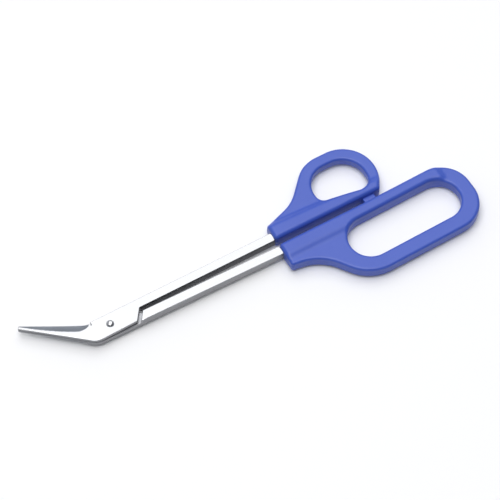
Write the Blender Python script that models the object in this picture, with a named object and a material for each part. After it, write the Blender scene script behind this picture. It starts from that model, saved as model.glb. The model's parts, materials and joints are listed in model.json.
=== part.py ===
"""Long-reach toenail scissors with angled blades and moulded loop handles.

Units are metres, +Z up. The scissors lie flat and closed on the undersides of
their handles. +X runs from the blades to the handles, +Y is the thumb side.
Every outline is drawn in the plan of the pivot, with the pivot axis at
X = Y = 0. One empty then puts the middle of the whole outline at the origin.
"""

import math

import bmesh
import bpy
from mathutils import Matrix, Vector

MM = 0.001

# Clearances
FIT_GAP = 0.3 * MM            # between pieces that touch, slide or are moulded on
OVERSHOOT = 3.0 * MM          # how far a cutter runs past the solid it cuts

# Heights, all centred on the plane where the two steel halves meet
STEEL_THICKNESS = 4.5 * MM
SLEEVE_COVER = 1.95 * MM      # plastic above and below the steel in the sleeves
THUMB_RIM_COVER = 0.35 * MM   # how far each rim stands past the level of the steel
FINGER_RIM_COVER = 0.85 * MM

# Steel bars and half-lapped pivot plates
BAR_WIDTH = 4.2 * MM
BAR_LENGTH = 82.8 * MM  # pivot to the shoulders that butt on the handles
PLATE_HALF_WIDTH = 5.0 * MM
THUMB_SPLAY = math.radians(0.1)
FINGER_SPLAY = math.radians(1.25)
LAP_LENGTH = 10.9 * MM  # pivot to the near corner of a plate's shoulder
LAP_SLANT = math.radians(54.5)
LAP_OPENING = 2.0 * MM  # between one half's shoulder and the other's step
LAP_CORNER = 0.9 * MM
SHOULDER_CORNER = 0.6 * MM
SHOULDER_INSET = 0.4 * MM     # how much a plate narrows from its blade to its shoulder

# Blades
BLADE_HEEL = 7.3 * MM  # pivot to the front corner of the plates
HEEL_NOTCH = 0.8 * MM
TIP_PLACE = (-35.1 * MM, 19.05 * MM)
EDGE_ANGLE = math.radians(-28.6)
SPINE_ANGLE = math.radians(-39.9)
TIP_WIDTH = 1.5 * MM
TIP_CORNER = 0.6 * MM
SPINE_CORNER = 7.5 * MM
TIP_THICKNESS = 1.1 * MM      # of one blade at its tip
GRIND_WIDTH = 4.9 * MM
EDGE_THICKNESS = 0.9 * MM

# Rivet and washer
SHANK_DIAMETER = 2.5 * MM
HEAD_DIAMETER = 3.4 * MM
HEAD_HEIGHT = 0.9 * MM
TAIL_DIAMETER = 4.4 * MM
TAIL_CHAMFER = 0.25 * MM
WASHER_DIAMETER = 6.6 * MM
WASHER_THICKNESS = 0.5 * MM

# Tangs inside the handles
TANG_WIDTH = 2.7 * MM
TANG_INSET = 1.0 * MM  # step from a bar's inner side to its tang
TANG_CORNER = 0.6 * MM
THUMB_TANG_LENGTH = 30.0 * MM
FINGER_TANG_LENGTH = 25.0 * MM
KEY_DIAMETER = 1.4 * MM  # hole in a tang, filled by a moulded post
KEY_DISTANCE = 16.0 * MM

# Both handles
SLEEVE_WIDTH = 6.5 * MM
SLEEVE_PROUD = 0.15 * MM      # sleeves stand this far past the bars and rims
SLEEVE_CORNER = 1.5 * MM
RIM_ROUND = 1.6 * MM
SLEEVE_ROUND = 1.9 * MM
FLANK_BLEND = 20.7 * MM  # hollow where a sleeve widens into its loop

# Thumb handle
THUMB_END_WIDTH = 7.8 * MM
THUMB_END_FLARE = math.radians(18.6)
THUMB_NECK = 16.0 * MM  # handle front to the foot of the flank
THUMB_FLANK = math.radians(46.8)
THUMB_LOOP_RADIUS = 16.15 * MM
THUMB_LOOP_SINK = 3.5 * MM  # how far the loop's circle would dip below the inner wall
THUMB_CROWN_FLAT = 5.15 * MM  # straight run across the top of the loop
THUMB_REAR = math.radians(58.4)
THUMB_REAR_DROP = 5.1 * MM   # loop centre down to where the rear turns in
THUMB_REAR_CORNER = 17.4 * MM
THUMB_FRONT_WALL = 0.7 * MM
THUMB_CROWN_WALL = 5.8 * MM
THUMB_REAR_WALL = 5.8 * MM
THUMB_INNER_WALL = 2.1 * MM  # at the rear of the hole, where it is thinnest
THUMB_HOLE_SLOPE = math.radians(-11.75)
THUMB_HOLE_CROWN = 11.0 * MM
THUMB_HOLE_CORNERS = (4.4 * MM, 6.4 * MM)
THUMB_SLEEVE_END_WIDTH = 4.0 * MM

# Stop lug on the thumb handle
STOP_SETBACK = 5.2 * MM  # from the middle of the loop towards the rear
STOP_WIDTH = 6.0 * MM
STOP_HEIGHT = 3.2 * MM
STOP_CORNER = 0.5 * MM

# Finger handle
FINGER_END_WIDTH = 11.65 * MM
FINGER_END_FLARE = math.radians(-7.2)
FINGER_NECK = 13.2 * MM
FINGER_FLANK = math.radians(-53.8)
FINGER_BEND = 46.8 * MM       # handle front to where the inner wall turns by the tilt
FINGER_BEND_RADIUS = 60.0 * MM
FINGER_TILT = math.radians(1.3)
FINGER_LENGTH = 91.8 * MM  # handle front to the middle of the loop's rear end
FINGER_LOOP_DEPTH = 33.1 * MM
FINGER_REAR_CORNERS = (15.4 * MM, 13.9 * MM)
FINGER_FRONT_CORNER = 20.2 * MM
FINGER_SLOT_FRONT = 27.6 * MM  # handle front to the slot
FINGER_REAR_WALL = 7.4 * MM
FINGER_INNER_WALL = 5.5 * MM
FINGER_OUTER_WALL = 7.45 * MM
FINGER_SLOT_CORNER = 10.1 * MM
FINGER_SLEEVE_END_WIDTH = 6.3 * MM
FINGER_SLEEVE_SETBACK = 10.8 * MM  # sleeve's end to the loop's rear end
FINGER_SLEEVE_WAIST = 15.0 * MM  # radius where the sleeve narrows beside the slot

# Facets
ARC_STEP = math.radians(10.0)
ROUND_STEPS = 3
DOME_STEPS = 6
ROUND_SIDES = 32
LEAST_BEND = 0.1              # share of a corner's radius that an inset leaves

# Heights and places that follow from the sizes above
SLEEVE_HEIGHT = STEEL_THICKNESS + 2.0 * SLEEVE_COVER
THUMB_RIM_HEIGHT = STEEL_THICKNESS + 2.0 * THUMB_RIM_COVER
FINGER_RIM_HEIGHT = STEEL_THICKNESS + 2.0 * FINGER_RIM_COVER
MID_Z = SLEEVE_HEIGHT / 2.0
STEEL_TOP = MID_Z + STEEL_THICKNESS / 2.0
STEEL_BOTTOM = MID_Z - STEEL_THICKNESS / 2.0
PLATE_THICKNESS = (STEEL_THICKNESS - FIT_GAP) / 2.0
HANDLE_FRONT = BAR_LENGTH + FIT_GAP
RIM_FRONT = HANDLE_FRONT + SLEEVE_PROUD
BLADE_REACH = abs(TIP_PLACE[0]) + abs(TIP_PLACE[1])  # more than any blade is wide


# ---------------------------------------------------------------- plan geometry

def crossing(point, angle, other_point, other_angle):
    """Return where two lines in the plan cross, each a point and a direction."""
    p = Vector(point)
    q = Vector(other_point)
    d = Vector((math.cos(angle), math.sin(angle)))
    e = Vector((math.cos(other_angle), math.sin(other_angle)))
    return p + d * ((q - p).cross(e) / d.cross(e))


def shifted(point, angle, along=0.0, aside=0.0):
    """Return the point moved along a direction and to the left of it."""
    d = Vector((math.cos(angle), math.sin(angle)))
    return Vector(point) + d * along + Vector((-d.y, d.x)) * aside


def line_height(point, angle, x):
    """Return the Y at X of the line through a point."""
    return point[1] + (x - point[0]) * math.tan(angle)


def rounded(corners, inset=0.0):
    """Return an anticlockwise outline with each (point, radius) corner as an arc.

    A positive inset moves the whole outline inwards, with the same point count.
    """
    outline = []
    for i, (corner, radius) in enumerate(corners):
        before = Vector(corners[i - 1][0])
        after = Vector(corners[(i + 1) % len(corners)][0])
        corner = Vector(corner)
        arrive = (corner - before).normalized()
        leave = (after - corner).normalized()
        turn = math.atan2(arrive.cross(leave), arrive.dot(leave))
        middle = (Vector((-arrive.y, arrive.x)) + Vector((-leave.y, leave.x))).normalized()
        apex = corner + middle * (inset / math.cos(turn / 2.0))
        if radius == 0.0:
            outline.append(apex)
            continue
        side = math.copysign(1.0, turn)
        bend = max(radius - side * inset, radius * LEAST_BEND)
        centre = apex + middle * side * bend / math.cos(turn / 2.0)
        steps = max(1, math.ceil(abs(turn) / ARC_STEP))
        start = -Vector((-arrive.y, arrive.x)) * side * bend
        for k in range(steps + 1):
            outline.append(centre + Matrix.Rotation(turn * k / steps, 2) @ start)
    return outline


# ---------------------------------------------------------------- solids

def add_object(name, bm, parent):
    """Store a bmesh as a named object with outward faces, under its parent."""
    bmesh.ops.recalc_face_normals(bm, faces=bm.faces)
    mesh = bpy.data.meshes.new(name)
    bm.to_mesh(mesh)
    bm.free()
    obj = bpy.data.objects.new(name, mesh)
    bpy.context.collection.objects.link(obj)
    obj.parent = parent
    mesh.shade_smooth()
    mesh.set_sharp_from_angle(angle=math.radians(30.0))
    return obj


def add_ring(bm, points, z):
    """Add one closed ring of vertices at a height."""
    return [bm.verts.new((p[0], p[1], z)) for p in points]


def bridge(bm, lower, upper):
    """Join two rings of equal length with quads."""
    count = len(lower)
    for i in range(count):
        j = (i + 1) % count
        bm.faces.new((lower[i], lower[j], upper[j], upper[i]))


def lofted(name, corners, layers, parent):
    """Stack one outline at (height, inset) layers and close both ends."""
    bm = bmesh.new()
    rings = [add_ring(bm, rounded(corners, inset), z) for z, inset in layers]
    for lower, upper in zip(rings, rings[1:]):
        bridge(bm, lower, upper)
    bm.faces.new(rings[0])
    bm.faces.new(rings[-1])
    return add_object(name, bm, parent)


def soft_layers(height, edge):
    """Return the layers of a slab centred on the middle plane, edges rounded."""
    lower = []
    for k in range(ROUND_STEPS + 1):
        angle = math.radians(90.0) * k / ROUND_STEPS
        lower.append((edge * (1.0 - math.cos(angle)), edge * (1.0 - math.sin(angle))))
    bottom = MID_Z - height / 2.0
    top = MID_Z + height / 2.0
    return [(bottom + z, i) for z, i in lower] + [(top - z, i) for z, i in reversed(lower)]


def flared_layers(height, edge):
    """Return the layers of a hole cutter that rounds both rims of the hole."""
    return ([(MID_Z - height / 2.0 - OVERSHOOT, -edge)]
            + [(z, -i) for z, i in soft_layers(height, edge)]
            + [(MID_Z + height / 2.0 + OVERSHOOT, -edge)])


def turned(name, profile, place, parent):
    """Turn a closed (radius, height) profile about the vertical through a place."""
    bm = bmesh.new()
    rings = []
    for radius, z in profile:
        if radius == 0.0:
            rings.append([bm.verts.new((place[0], place[1], z))])
            continue
        ring = []
        for k in range(ROUND_SIDES):
            angle = 2.0 * math.pi * k / ROUND_SIDES
            ring.append((place[0] + radius * math.cos(angle),
                         place[1] + radius * math.sin(angle)))
        rings.append(add_ring(bm, ring, z))
    closed = zip(rings, rings[1:] + rings[:1])
    for lower, upper in closed:
        if len(lower) == len(upper) == 1:
            continue
        if len(lower) > 1 and len(upper) > 1:
            bridge(bm, lower, upper)
            continue
        point, ring = (lower, upper) if len(lower) == 1 else (upper, lower)
        for i in range(len(ring)):
            bm.faces.new((point[0], ring[i], ring[(i + 1) % len(ring)]))
    return add_object(name, bm, parent)


def upright_cylinder(name, place, diameter, z_low, z_high, parent):
    """Make a plain upright cylinder."""
    radius = diameter / 2.0
    profile = [(0.0, z_low), (radius, z_low), (radius, z_high), (0.0, z_high)]
    return turned(name, profile, place, parent)


def slope_cutter(name, hinge, angle, reach, run, drop, flipped, parent):
    """Make a wedge that planes a steel face down from a hinge line.

    The hinge line lies on the outer face of a half, through a point at an
    angle, and the cut falls by drop over run to the left of it. A flipped
    wedge works on the underside.
    """
    fall = drop / run
    lift = OVERSHOOT
    profile = [(-lift, fall * lift), (run + lift, -fall * (run + lift)),
               (run + lift, 2.0 * lift), (-lift, 2.0 * lift)]
    bm = bmesh.new()
    ends = []
    for x in reach:
        end = []
        for aside, rise in profile:
            place = shifted(hinge, angle, x, aside)
            z = STEEL_BOTTOM - rise if flipped else STEEL_TOP + rise
            end.append(bm.verts.new((place.x, place.y, z)))
        ends.append(end)
    bridge(bm, ends[0], ends[1])
    bm.faces.new(ends[0])
    bm.faces.new(ends[1])
    return add_object(name, bm, parent)


def combine(target, tool, operation):
    """Join a tool shape to the target, or cut it away, and hide the tool."""
    boolean = target.modifiers.new(tool.name, "BOOLEAN")
    boolean.operation = operation
    boolean.solver = "EXACT"
    boolean.object = tool
    tool.hide_render = True
    tool.display_type = "WIRE"


def add_material(obj, colour, metallic, roughness):
    """Give an object its own material."""
    material = bpy.data.materials.new(obj.name)
    material.use_nodes = True
    shader = material.node_tree.nodes["Principled BSDF"]
    shader.inputs["Base Color"].default_value = (*colour, 1.0)
    shader.inputs["Metallic"].default_value = metallic
    shader.inputs["Roughness"].default_value = roughness
    obj.data.materials.append(material)


STEEL_COLOUR = (0.62, 0.62, 0.64)
PLASTIC_COLOUR = (0.09, 0.14, 0.58)


# ---------------------------------------------------------------- steel halves

def tang_corners(splay, length, front=BAR_LENGTH):
    """Return a tang's four corners, as seen with its half's outer side up."""
    inner = (0.0, PLATE_HALF_WIDTH - BAR_WIDTH + TANG_INSET)
    end = BAR_LENGTH + length
    low_front = Vector((front, line_height(inner, splay, front)))
    low_end = Vector((end, line_height(inner, splay, end)))
    up = Vector((0.0, TANG_WIDTH))
    return [(low_front, 0.0), (low_end, TANG_CORNER), (low_end + up, TANG_CORNER),
            (low_front + up, 0.0)]


def rear_corners(splay, tang_length):
    """Return the outline behind the blade, with the half's outer side up."""
    outer = (0.0, PLATE_HALF_WIDTH)
    inner = (0.0, PLATE_HALF_WIDTH - BAR_WIDTH)
    shoulder = Vector((LAP_LENGTH, SHOULDER_INSET - PLATE_HALF_WIDTH))
    bar_end = Vector((BAR_LENGTH, 0.0))
    return [(shoulder, SHOULDER_CORNER),
            (crossing(shoulder, LAP_SLANT, inner, splay), LAP_CORNER),
            (crossing(bar_end, math.pi / 2.0, inner, splay), 0.0),
            *tang_corners(splay, tang_length),
            (crossing(bar_end, math.pi / 2.0, outer, splay), 0.0)]


def blade_spine():
    """Return the low point of the blade's blunt end, where its spine starts."""
    return shifted(TIP_PLACE, SPINE_ANGLE, 0.0, -TIP_WIDTH)


def front_corners(notch):
    """Return the outline of the pivot plate's front and the blade, top first."""
    heel = Vector((-BLADE_HEEL, PLATE_HALF_WIDTH))
    back = crossing(TIP_PLACE, EDGE_ANGLE, heel, math.pi / 2.0)
    spine = blade_spine()
    corner = crossing(spine, SPINE_ANGLE, (0.0, -PLATE_HALF_WIDTH), 0.0)
    corners = [(heel, 0.0)]
    if notch:
        corners.append((shifted(back, math.radians(-90.0), HEEL_NOTCH), 0.0))
        corners.append((shifted(back, EDGE_ANGLE, -HEEL_NOTCH), 0.0))
    else:
        corners.append((back, 0.0))
    return corners + [(Vector(TIP_PLACE), TIP_CORNER), (spine, TIP_CORNER),
                      (corner, SPINE_CORNER)]


def mirrored(corners):
    """Mirror corners to the finger side, kept anticlockwise."""
    return [(Vector((p[0], -p[1])), radius) for p, radius in reversed(corners)]


def lap_cutter(name, side, parent):
    """Make the cutter that halves one steel piece ahead of its step."""
    shoulder = Vector((LAP_LENGTH, PLATE_HALF_WIDTH - SHOULDER_INSET))
    foot = shoulder + Vector((LAP_OPENING, 0.0))
    far = PLATE_HALF_WIDTH + BLADE_REACH
    ahead = TIP_PLACE[0] - OVERSHOOT
    near_step = crossing(foot, -LAP_SLANT, (0.0, -far), 0.0)
    far_step = crossing(foot, -LAP_SLANT, (0.0, far), 0.0)
    corners = [((ahead, -far), 0.0), (near_step, 0.0), (far_step, 0.0), ((ahead, far), 0.0)]
    if side > 0:
        layers = [(STEEL_BOTTOM - OVERSHOOT, 0.0), (MID_Z + FIT_GAP / 2.0, 0.0)]
    else:
        layers = [(MID_Z - FIT_GAP / 2.0, 0.0), (STEEL_TOP + OVERSHOOT, 0.0)]
        corners = mirrored(corners)
    return lofted(name, corners, layers, parent)


def steel_half(name, splay, tang_length, side, parent):
    """Make one blade, plate, bar and tang; side is +1 for thumb, -1 for finger."""
    rear = rear_corners(splay, tang_length)
    if side < 0:
        rear = mirrored(rear)
    corners = rear + front_corners(notch=side > 0)
    half = lofted(name, corners, [(STEEL_BOTTOM, 0.0), (STEEL_TOP, 0.0)], parent)
    flipped = side < 0
    combine(half, lap_cutter(name + ".lap", side, parent), "DIFFERENCE")

    heel = Vector((-BLADE_HEEL, 0.0))
    blade_angle = (EDGE_ANGLE + SPINE_ANGLE) / 2.0 + math.pi
    blade_length = (Vector(TIP_PLACE) - heel).length
    taper = slope_cutter(name + ".taper", heel, blade_angle - math.pi / 2.0,
                         (-BLADE_REACH, BLADE_REACH), blade_length,
                         PLATE_THICKNESS - TIP_THICKNESS, flipped, parent)
    combine(half, taper, "DIFFERENCE")

    if side > 0:
        hinge = shifted(TIP_PLACE, EDGE_ANGLE, 0.0, -GRIND_WIDTH)
        angle = EDGE_ANGLE
        edge_length = (-BLADE_HEEL - HEEL_NOTCH - TIP_PLACE[0]) / math.cos(EDGE_ANGLE)
        reach = (-OVERSHOOT, edge_length)
    else:
        hinge = shifted(blade_spine(), SPINE_ANGLE, 0.0, GRIND_WIDTH)
        angle = SPINE_ANGLE + math.pi
        edge_length = (-BLADE_HEEL - SPINE_CORNER / 2.0 - TIP_PLACE[0]) / math.cos(SPINE_ANGLE)
        reach = (-edge_length, OVERSHOOT)
    grind = slope_cutter(name + ".grind", hinge, angle, reach, GRIND_WIDTH,
                         PLATE_THICKNESS - EDGE_THICKNESS, flipped, parent)
    combine(half, grind, "DIFFERENCE")

    bore = upright_cylinder(name + ".bore", (0.0, 0.0), SHANK_DIAMETER + 2.0 * FIT_GAP,
                            STEEL_BOTTOM - OVERSHOOT, STEEL_TOP + OVERSHOOT, parent)
    combine(half, bore, "DIFFERENCE")
    key = upright_cylinder(name + ".key", key_place(splay, side), KEY_DIAMETER,
                           STEEL_BOTTOM - OVERSHOOT, STEEL_TOP + OVERSHOOT, parent)
    combine(half, key, "DIFFERENCE")
    add_material(half, STEEL_COLOUR, 1.0, 0.18)
    return half


def key_place(splay, side):
    """Return the centre of a tang's key hole."""
    x = BAR_LENGTH + KEY_DISTANCE
    inner = (0.0, PLATE_HALF_WIDTH - BAR_WIDTH + TANG_INSET)
    return (x, side * (line_height(inner, splay, x) + TANG_WIDTH / 2.0))


# ---------------------------------------------------------------- rivet

def pivot_rivet(parent):
    """Make the rivet: flat peened tail, shank and domed head in one turning."""
    tail = TAIL_DIAMETER / 2.0
    shank = SHANK_DIAMETER / 2.0
    head = HEAD_DIAMETER / 2.0
    tail_top = STEEL_BOTTOM - 2.0 * FIT_GAP - WASHER_THICKNESS
    chamfer = min(TAIL_CHAMFER, tail_top / 2.0)
    seat = STEEL_TOP + FIT_GAP
    profile = [(0.0, 0.0), (tail - chamfer, 0.0), (tail, chamfer), (tail, tail_top),
               (shank, tail_top), (shank, seat), (head, seat)]
    for k in range(1, DOME_STEPS):
        angle = math.radians(90.0) * k / DOME_STEPS
        profile.append((head * math.cos(angle), seat + HEAD_HEIGHT * math.sin(angle)))
    profile.append((0.0, seat + HEAD_HEIGHT))
    rivet = turned("pivot_rivet", profile, (0.0, 0.0), parent)
    add_material(rivet, STEEL_COLOUR, 1.0, 0.15)


def pivot_washer(parent):
    """Make the flat ring between the lower plate and the rivet's tail."""
    top = STEEL_BOTTOM - FIT_GAP
    outer = WASHER_DIAMETER / 2.0
    inner = SHANK_DIAMETER / 2.0 + FIT_GAP
    profile = [(inner, top - WASHER_THICKNESS), (outer, top - WASHER_THICKNESS),
               (outer, top), (inner, top)]
    washer = turned("pivot_washer", profile, (0.0, 0.0), parent)
    add_material(washer, STEEL_COLOUR, 1.0, 0.25)


# ---------------------------------------------------------------- handles

def inner_wall(splay, side):
    """Return the Y of a handle's inner wall, just proud of its bar."""
    inner = (0.0, PLATE_HALF_WIDTH - BAR_WIDTH)
    return side * (line_height(inner, splay, BAR_LENGTH) - SLEEVE_PROUD)


def tang_pocket(name, splay, tang_length, side, parent):
    """Make the cutter for a tang's pocket, with the key's post left standing."""
    corners = tang_corners(splay, tang_length, HANDLE_FRONT - OVERSHOOT)
    if side < 0:
        corners = mirrored(corners)
    layers = [(STEEL_BOTTOM - FIT_GAP, -FIT_GAP), (STEEL_TOP + FIT_GAP, -FIT_GAP)]
    pocket = lofted(name + ".pocket", corners, layers, parent)
    post = upright_cylinder(name + ".post", key_place(splay, side),
                            KEY_DIAMETER - 2.0 * FIT_GAP, STEEL_BOTTOM - OVERSHOOT,
                            STEEL_TOP + OVERSHOOT, parent)
    combine(pocket, post, "DIFFERENCE")
    return pocket


def thumb_neck(inner):
    """Return the shoulder at the handle's front corner and the foot of the flank."""
    shoulder = Vector((RIM_FRONT, inner + SLEEVE_PROUD + THUMB_END_WIDTH))
    neck_x = RIM_FRONT + THUMB_NECK
    return shoulder, Vector((neck_x, line_height(shoulder, THUMB_END_FLARE, neck_x)))


def thumb_loop_centre(inner):
    """Return the centre of the loop's circle, which the flank runs into."""
    neck = thumb_neck(inner)[1]
    y = inner + SLEEVE_PROUD + THUMB_LOOP_RADIUS - THUMB_LOOP_SINK
    touching = THUMB_LOOP_RADIUS + (y - neck.y) * math.cos(THUMB_FLANK)
    return Vector((neck.x + touching / math.sin(THUMB_FLANK) + THUMB_CROWN_FLAT, y))


def thumb_rim(inner):
    """Return the corners of the thumb handle's outline."""
    cx, cy = thumb_loop_centre(inner)
    shoulder, neck = thumb_neck(inner)
    right = cx + THUMB_LOOP_RADIUS
    top = cy + THUMB_LOOP_RADIUS
    base = inner + SLEEVE_PROUD
    turn_in = Vector((right, cy - THUMB_REAR_DROP))
    return [((RIM_FRONT, base), SLEEVE_CORNER),
            (crossing(turn_in, THUMB_REAR, (0.0, base), 0.0), SLEEVE_CORNER),
            (turn_in, THUMB_REAR_CORNER),
            ((right, top), THUMB_LOOP_RADIUS),
            (crossing(neck, THUMB_FLANK, (0.0, top), 0.0), THUMB_LOOP_RADIUS),
            (neck, FLANK_BLEND),
            (shoulder, SLEEVE_CORNER)]


def thumb_hole(inner):
    """Return the corners of the egg-shaped thumb hole, one wall inside the loop."""
    cx, cy = thumb_loop_centre(inner)
    left = cx - THUMB_LOOP_RADIUS + THUMB_FRONT_WALL
    right = cx + THUMB_LOOP_RADIUS - THUMB_REAR_WALL
    top = cy + THUMB_LOOP_RADIUS - THUMB_CROWN_WALL
    low_right = Vector((right, inner + SLEEVE_PROUD + THUMB_INNER_WALL))
    low_left = Vector((left, line_height(low_right, THUMB_HOLE_SLOPE, left)))
    crown = min(THUMB_HOLE_CROWN, (right - left) / 2.0)
    return [(low_left, THUMB_HOLE_CORNERS[0]), (low_right, THUMB_HOLE_CORNERS[1]),
            ((right, top), crown), ((left, top), crown)]


def thumb_sleeve(inner):
    """Return the corners of the raised sleeve along the thumb handle."""
    rear = thumb_rim(inner)[1][0].x - SLEEVE_CORNER
    return [((HANDLE_FRONT, inner), SLEEVE_CORNER),
            ((rear, inner), SLEEVE_CORNER),
            ((rear, inner + THUMB_SLEEVE_END_WIDTH), SLEEVE_CORNER),
            ((HANDLE_FRONT, inner + SLEEVE_WIDTH), SLEEVE_CORNER)]


def thumb_handle(parent):
    """Make the thumb handle: rim, hole, sleeve, stop lug and tang pocket."""
    inner = inner_wall(THUMB_SPLAY, 1)
    handle = lofted("thumb_handle", thumb_rim(inner),
                    soft_layers(THUMB_RIM_HEIGHT, RIM_ROUND), parent)
    hole = lofted("thumb_handle.hole", thumb_hole(inner),
                  flared_layers(THUMB_RIM_HEIGHT, RIM_ROUND), parent)
    sleeve = lofted("thumb_handle.sleeve", thumb_sleeve(inner),
                    soft_layers(SLEEVE_HEIGHT, SLEEVE_ROUND), parent)
    left = thumb_loop_centre(inner).x + STOP_SETBACK - STOP_WIDTH / 2.0
    right = left + STOP_WIDTH
    facing = inner_wall(FINGER_SPLAY, -1)
    bend = (HANDLE_FRONT + FINGER_BEND, facing)
    stop_end = max(facing, line_height(bend, FINGER_TILT, right)) + FIT_GAP
    root = inner + SLEEVE_CORNER
    stop_corners = [((left, stop_end), STOP_CORNER), ((right, stop_end), STOP_CORNER),
                    ((right, root), 0.0), ((left, root), 0.0)]
    stop = lofted("thumb_handle.stop", stop_corners,
                  [(MID_Z - STOP_HEIGHT / 2.0, 0.0), (MID_Z + STOP_HEIGHT / 2.0, 0.0)], parent)
    combine(handle, hole, "DIFFERENCE")
    combine(handle, sleeve, "UNION")
    combine(handle, stop, "UNION")
    combine(handle, tang_pocket("thumb_handle", THUMB_SPLAY, THUMB_TANG_LENGTH, 1, parent),
            "DIFFERENCE")
    add_material(handle, PLASTIC_COLOUR, 0.0, 0.35)


def finger_loop(inner):
    """Return the loop's bend, a point on its floor and the middle of its rear end."""
    bend = Vector((HANDLE_FRONT + FINGER_BEND, inner - SLEEVE_PROUD))
    floor = shifted(bend, FINGER_TILT, 0.0, -FINGER_LOOP_DEPTH)
    rear = Vector((HANDLE_FRONT + FINGER_LENGTH, (bend.y + floor.y) / 2.0))
    return bend, floor, rear


def finger_rim(inner):
    """Return the corners of the finger handle's outline."""
    bend, floor, rear = finger_loop(inner)
    upright = FINGER_TILT + math.pi / 2.0
    shoulder = Vector((RIM_FRONT, bend.y - FINGER_END_WIDTH))
    neck_x = RIM_FRONT + FINGER_NECK
    neck = Vector((neck_x, line_height(shoulder, FINGER_END_FLARE, neck_x)))
    return [((RIM_FRONT, bend.y), SLEEVE_CORNER),
            (shoulder, SLEEVE_CORNER),
            (neck, FLANK_BLEND),
            (crossing(neck, FINGER_FLANK, floor, FINGER_TILT), FINGER_FRONT_CORNER),
            (crossing(rear, upright, floor, FINGER_TILT), FINGER_REAR_CORNERS[0]),
            (crossing(rear, upright, bend, FINGER_TILT), FINGER_REAR_CORNERS[1]),
            (bend, FINGER_BEND_RADIUS)]


def finger_slot(inner):
    """Return the corners of the long finger slot, one wall inside the loop."""
    bend, floor, rear = finger_loop(inner)
    upright = FINGER_TILT + math.pi / 2.0
    low = shifted(floor, FINGER_TILT, 0.0, FINGER_OUTER_WALL)
    high = shifted(bend, FINGER_TILT, 0.0, -FINGER_INNER_WALL)
    front = (HANDLE_FRONT + FINGER_SLOT_FRONT, rear.y)
    back = shifted(rear, FINGER_TILT, -FINGER_REAR_WALL)
    corner = min(FINGER_SLOT_CORNER, (high - low).length / 2.0)
    return [(crossing(end, upright, side, FINGER_TILT), corner)
            for end, side in ((front, low), (back, low), (back, high), (front, high))]


def finger_sleeve(inner):
    """Return the corners of the raised sleeve along the finger handle."""
    bend, _, rear = finger_loop(inner)
    bend = Vector((bend.x, inner))
    end_x = rear.x - FINGER_SLEEVE_SETBACK
    end = Vector((end_x, line_height(bend, FINGER_TILT, end_x)))
    end_low = end - Vector((0.0, FINGER_SLEEVE_END_WIDTH))
    waist_x = HANDLE_FRONT + FINGER_SLOT_FRONT + FINGER_SLOT_CORNER
    waist = Vector((waist_x, line_height(end_low, FINGER_TILT, waist_x)))
    return [((HANDLE_FRONT, inner), SLEEVE_CORNER),
            ((HANDLE_FRONT, inner - SLEEVE_WIDTH), SLEEVE_CORNER),
            (waist, FINGER_SLEEVE_WAIST),
            (end_low, SLEEVE_CORNER),
            (end, SLEEVE_CORNER),
            (bend, FINGER_BEND_RADIUS)]


def finger_handle(parent):
    """Make the finger handle: rim, slot, sleeve and tang pocket."""
    inner = inner_wall(FINGER_SPLAY, -1)
    handle = lofted("finger_handle", finger_rim(inner),
                    soft_layers(FINGER_RIM_HEIGHT, RIM_ROUND), parent)
    slot = lofted("finger_handle.slot", finger_slot(inner),
                  flared_layers(SLEEVE_HEIGHT, RIM_ROUND), parent)
    sleeve = lofted("finger_handle.sleeve", finger_sleeve(inner),
                    soft_layers(SLEEVE_HEIGHT, SLEEVE_ROUND), parent)
    combine(handle, sleeve, "UNION")
    combine(handle, slot, "DIFFERENCE")
    combine(handle, tang_pocket("finger_handle", FINGER_SPLAY, FINGER_TANG_LENGTH, -1, parent),
            "DIFFERENCE")
    add_material(handle, PLASTIC_COLOUR, 0.0, 0.35)


# ---------------------------------------------------------------- assembly

def add_empty(name, place, parent):
    """Add an empty that others hang from."""
    empty = bpy.data.objects.new(name, None)
    empty.location = place
    empty.parent = parent
    bpy.context.collection.objects.link(empty)
    return empty


def plan_middle():
    """Return the middle of the closed scissors' plan, from their outlines."""
    points = rounded(thumb_rim(inner_wall(THUMB_SPLAY, 1)))
    points += rounded(finger_rim(inner_wall(FINGER_SPLAY, -1)))
    points += rounded(rear_corners(THUMB_SPLAY, 0.0) + front_corners(notch=True))
    xs = [p.x for p in points]
    ys = [p.y for p in points]
    return ((min(xs) + max(xs)) / 2.0, (min(ys) + max(ys)) / 2.0)


def main():
    """Build the whole scissors in an empty scene."""
    for obj in list(bpy.data.objects):
        bpy.data.objects.remove(obj, do_unlink=True)
    middle = plan_middle()
    layout = add_empty("layout", (-middle[0], -middle[1], 0.0), None)
    thumb_half = add_empty("thumb_half_axis", (0.0, 0.0, 0.0), layout)
    steel_half("finger_blade", FINGER_SPLAY, FINGER_TANG_LENGTH, -1, layout)
    steel_half("thumb_blade", THUMB_SPLAY, THUMB_TANG_LENGTH, 1, thumb_half)
    pivot_rivet(layout)
    pivot_washer(layout)
    finger_handle(layout)
    thumb_handle(thumb_half)


main()
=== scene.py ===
"""Finished look of long-reach toenail scissors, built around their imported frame.

Sizes are in millimetres in the plan of the pivot: the pivot axis is at
X = Y = 0, +X runs along the bars to the handles and +Y is the thumb side.
Heights are above the surface that the scissors lie on. Meshes are stored in
metres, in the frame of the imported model.
"""
import json
import logging
import math
from collections.abc import Callable, Sequence
from dataclasses import dataclass, field
from enum import Enum

import bmesh
import bpy
import numpy as np
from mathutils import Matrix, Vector
from mathutils.geometry import delaunay_2d_cdt


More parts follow.
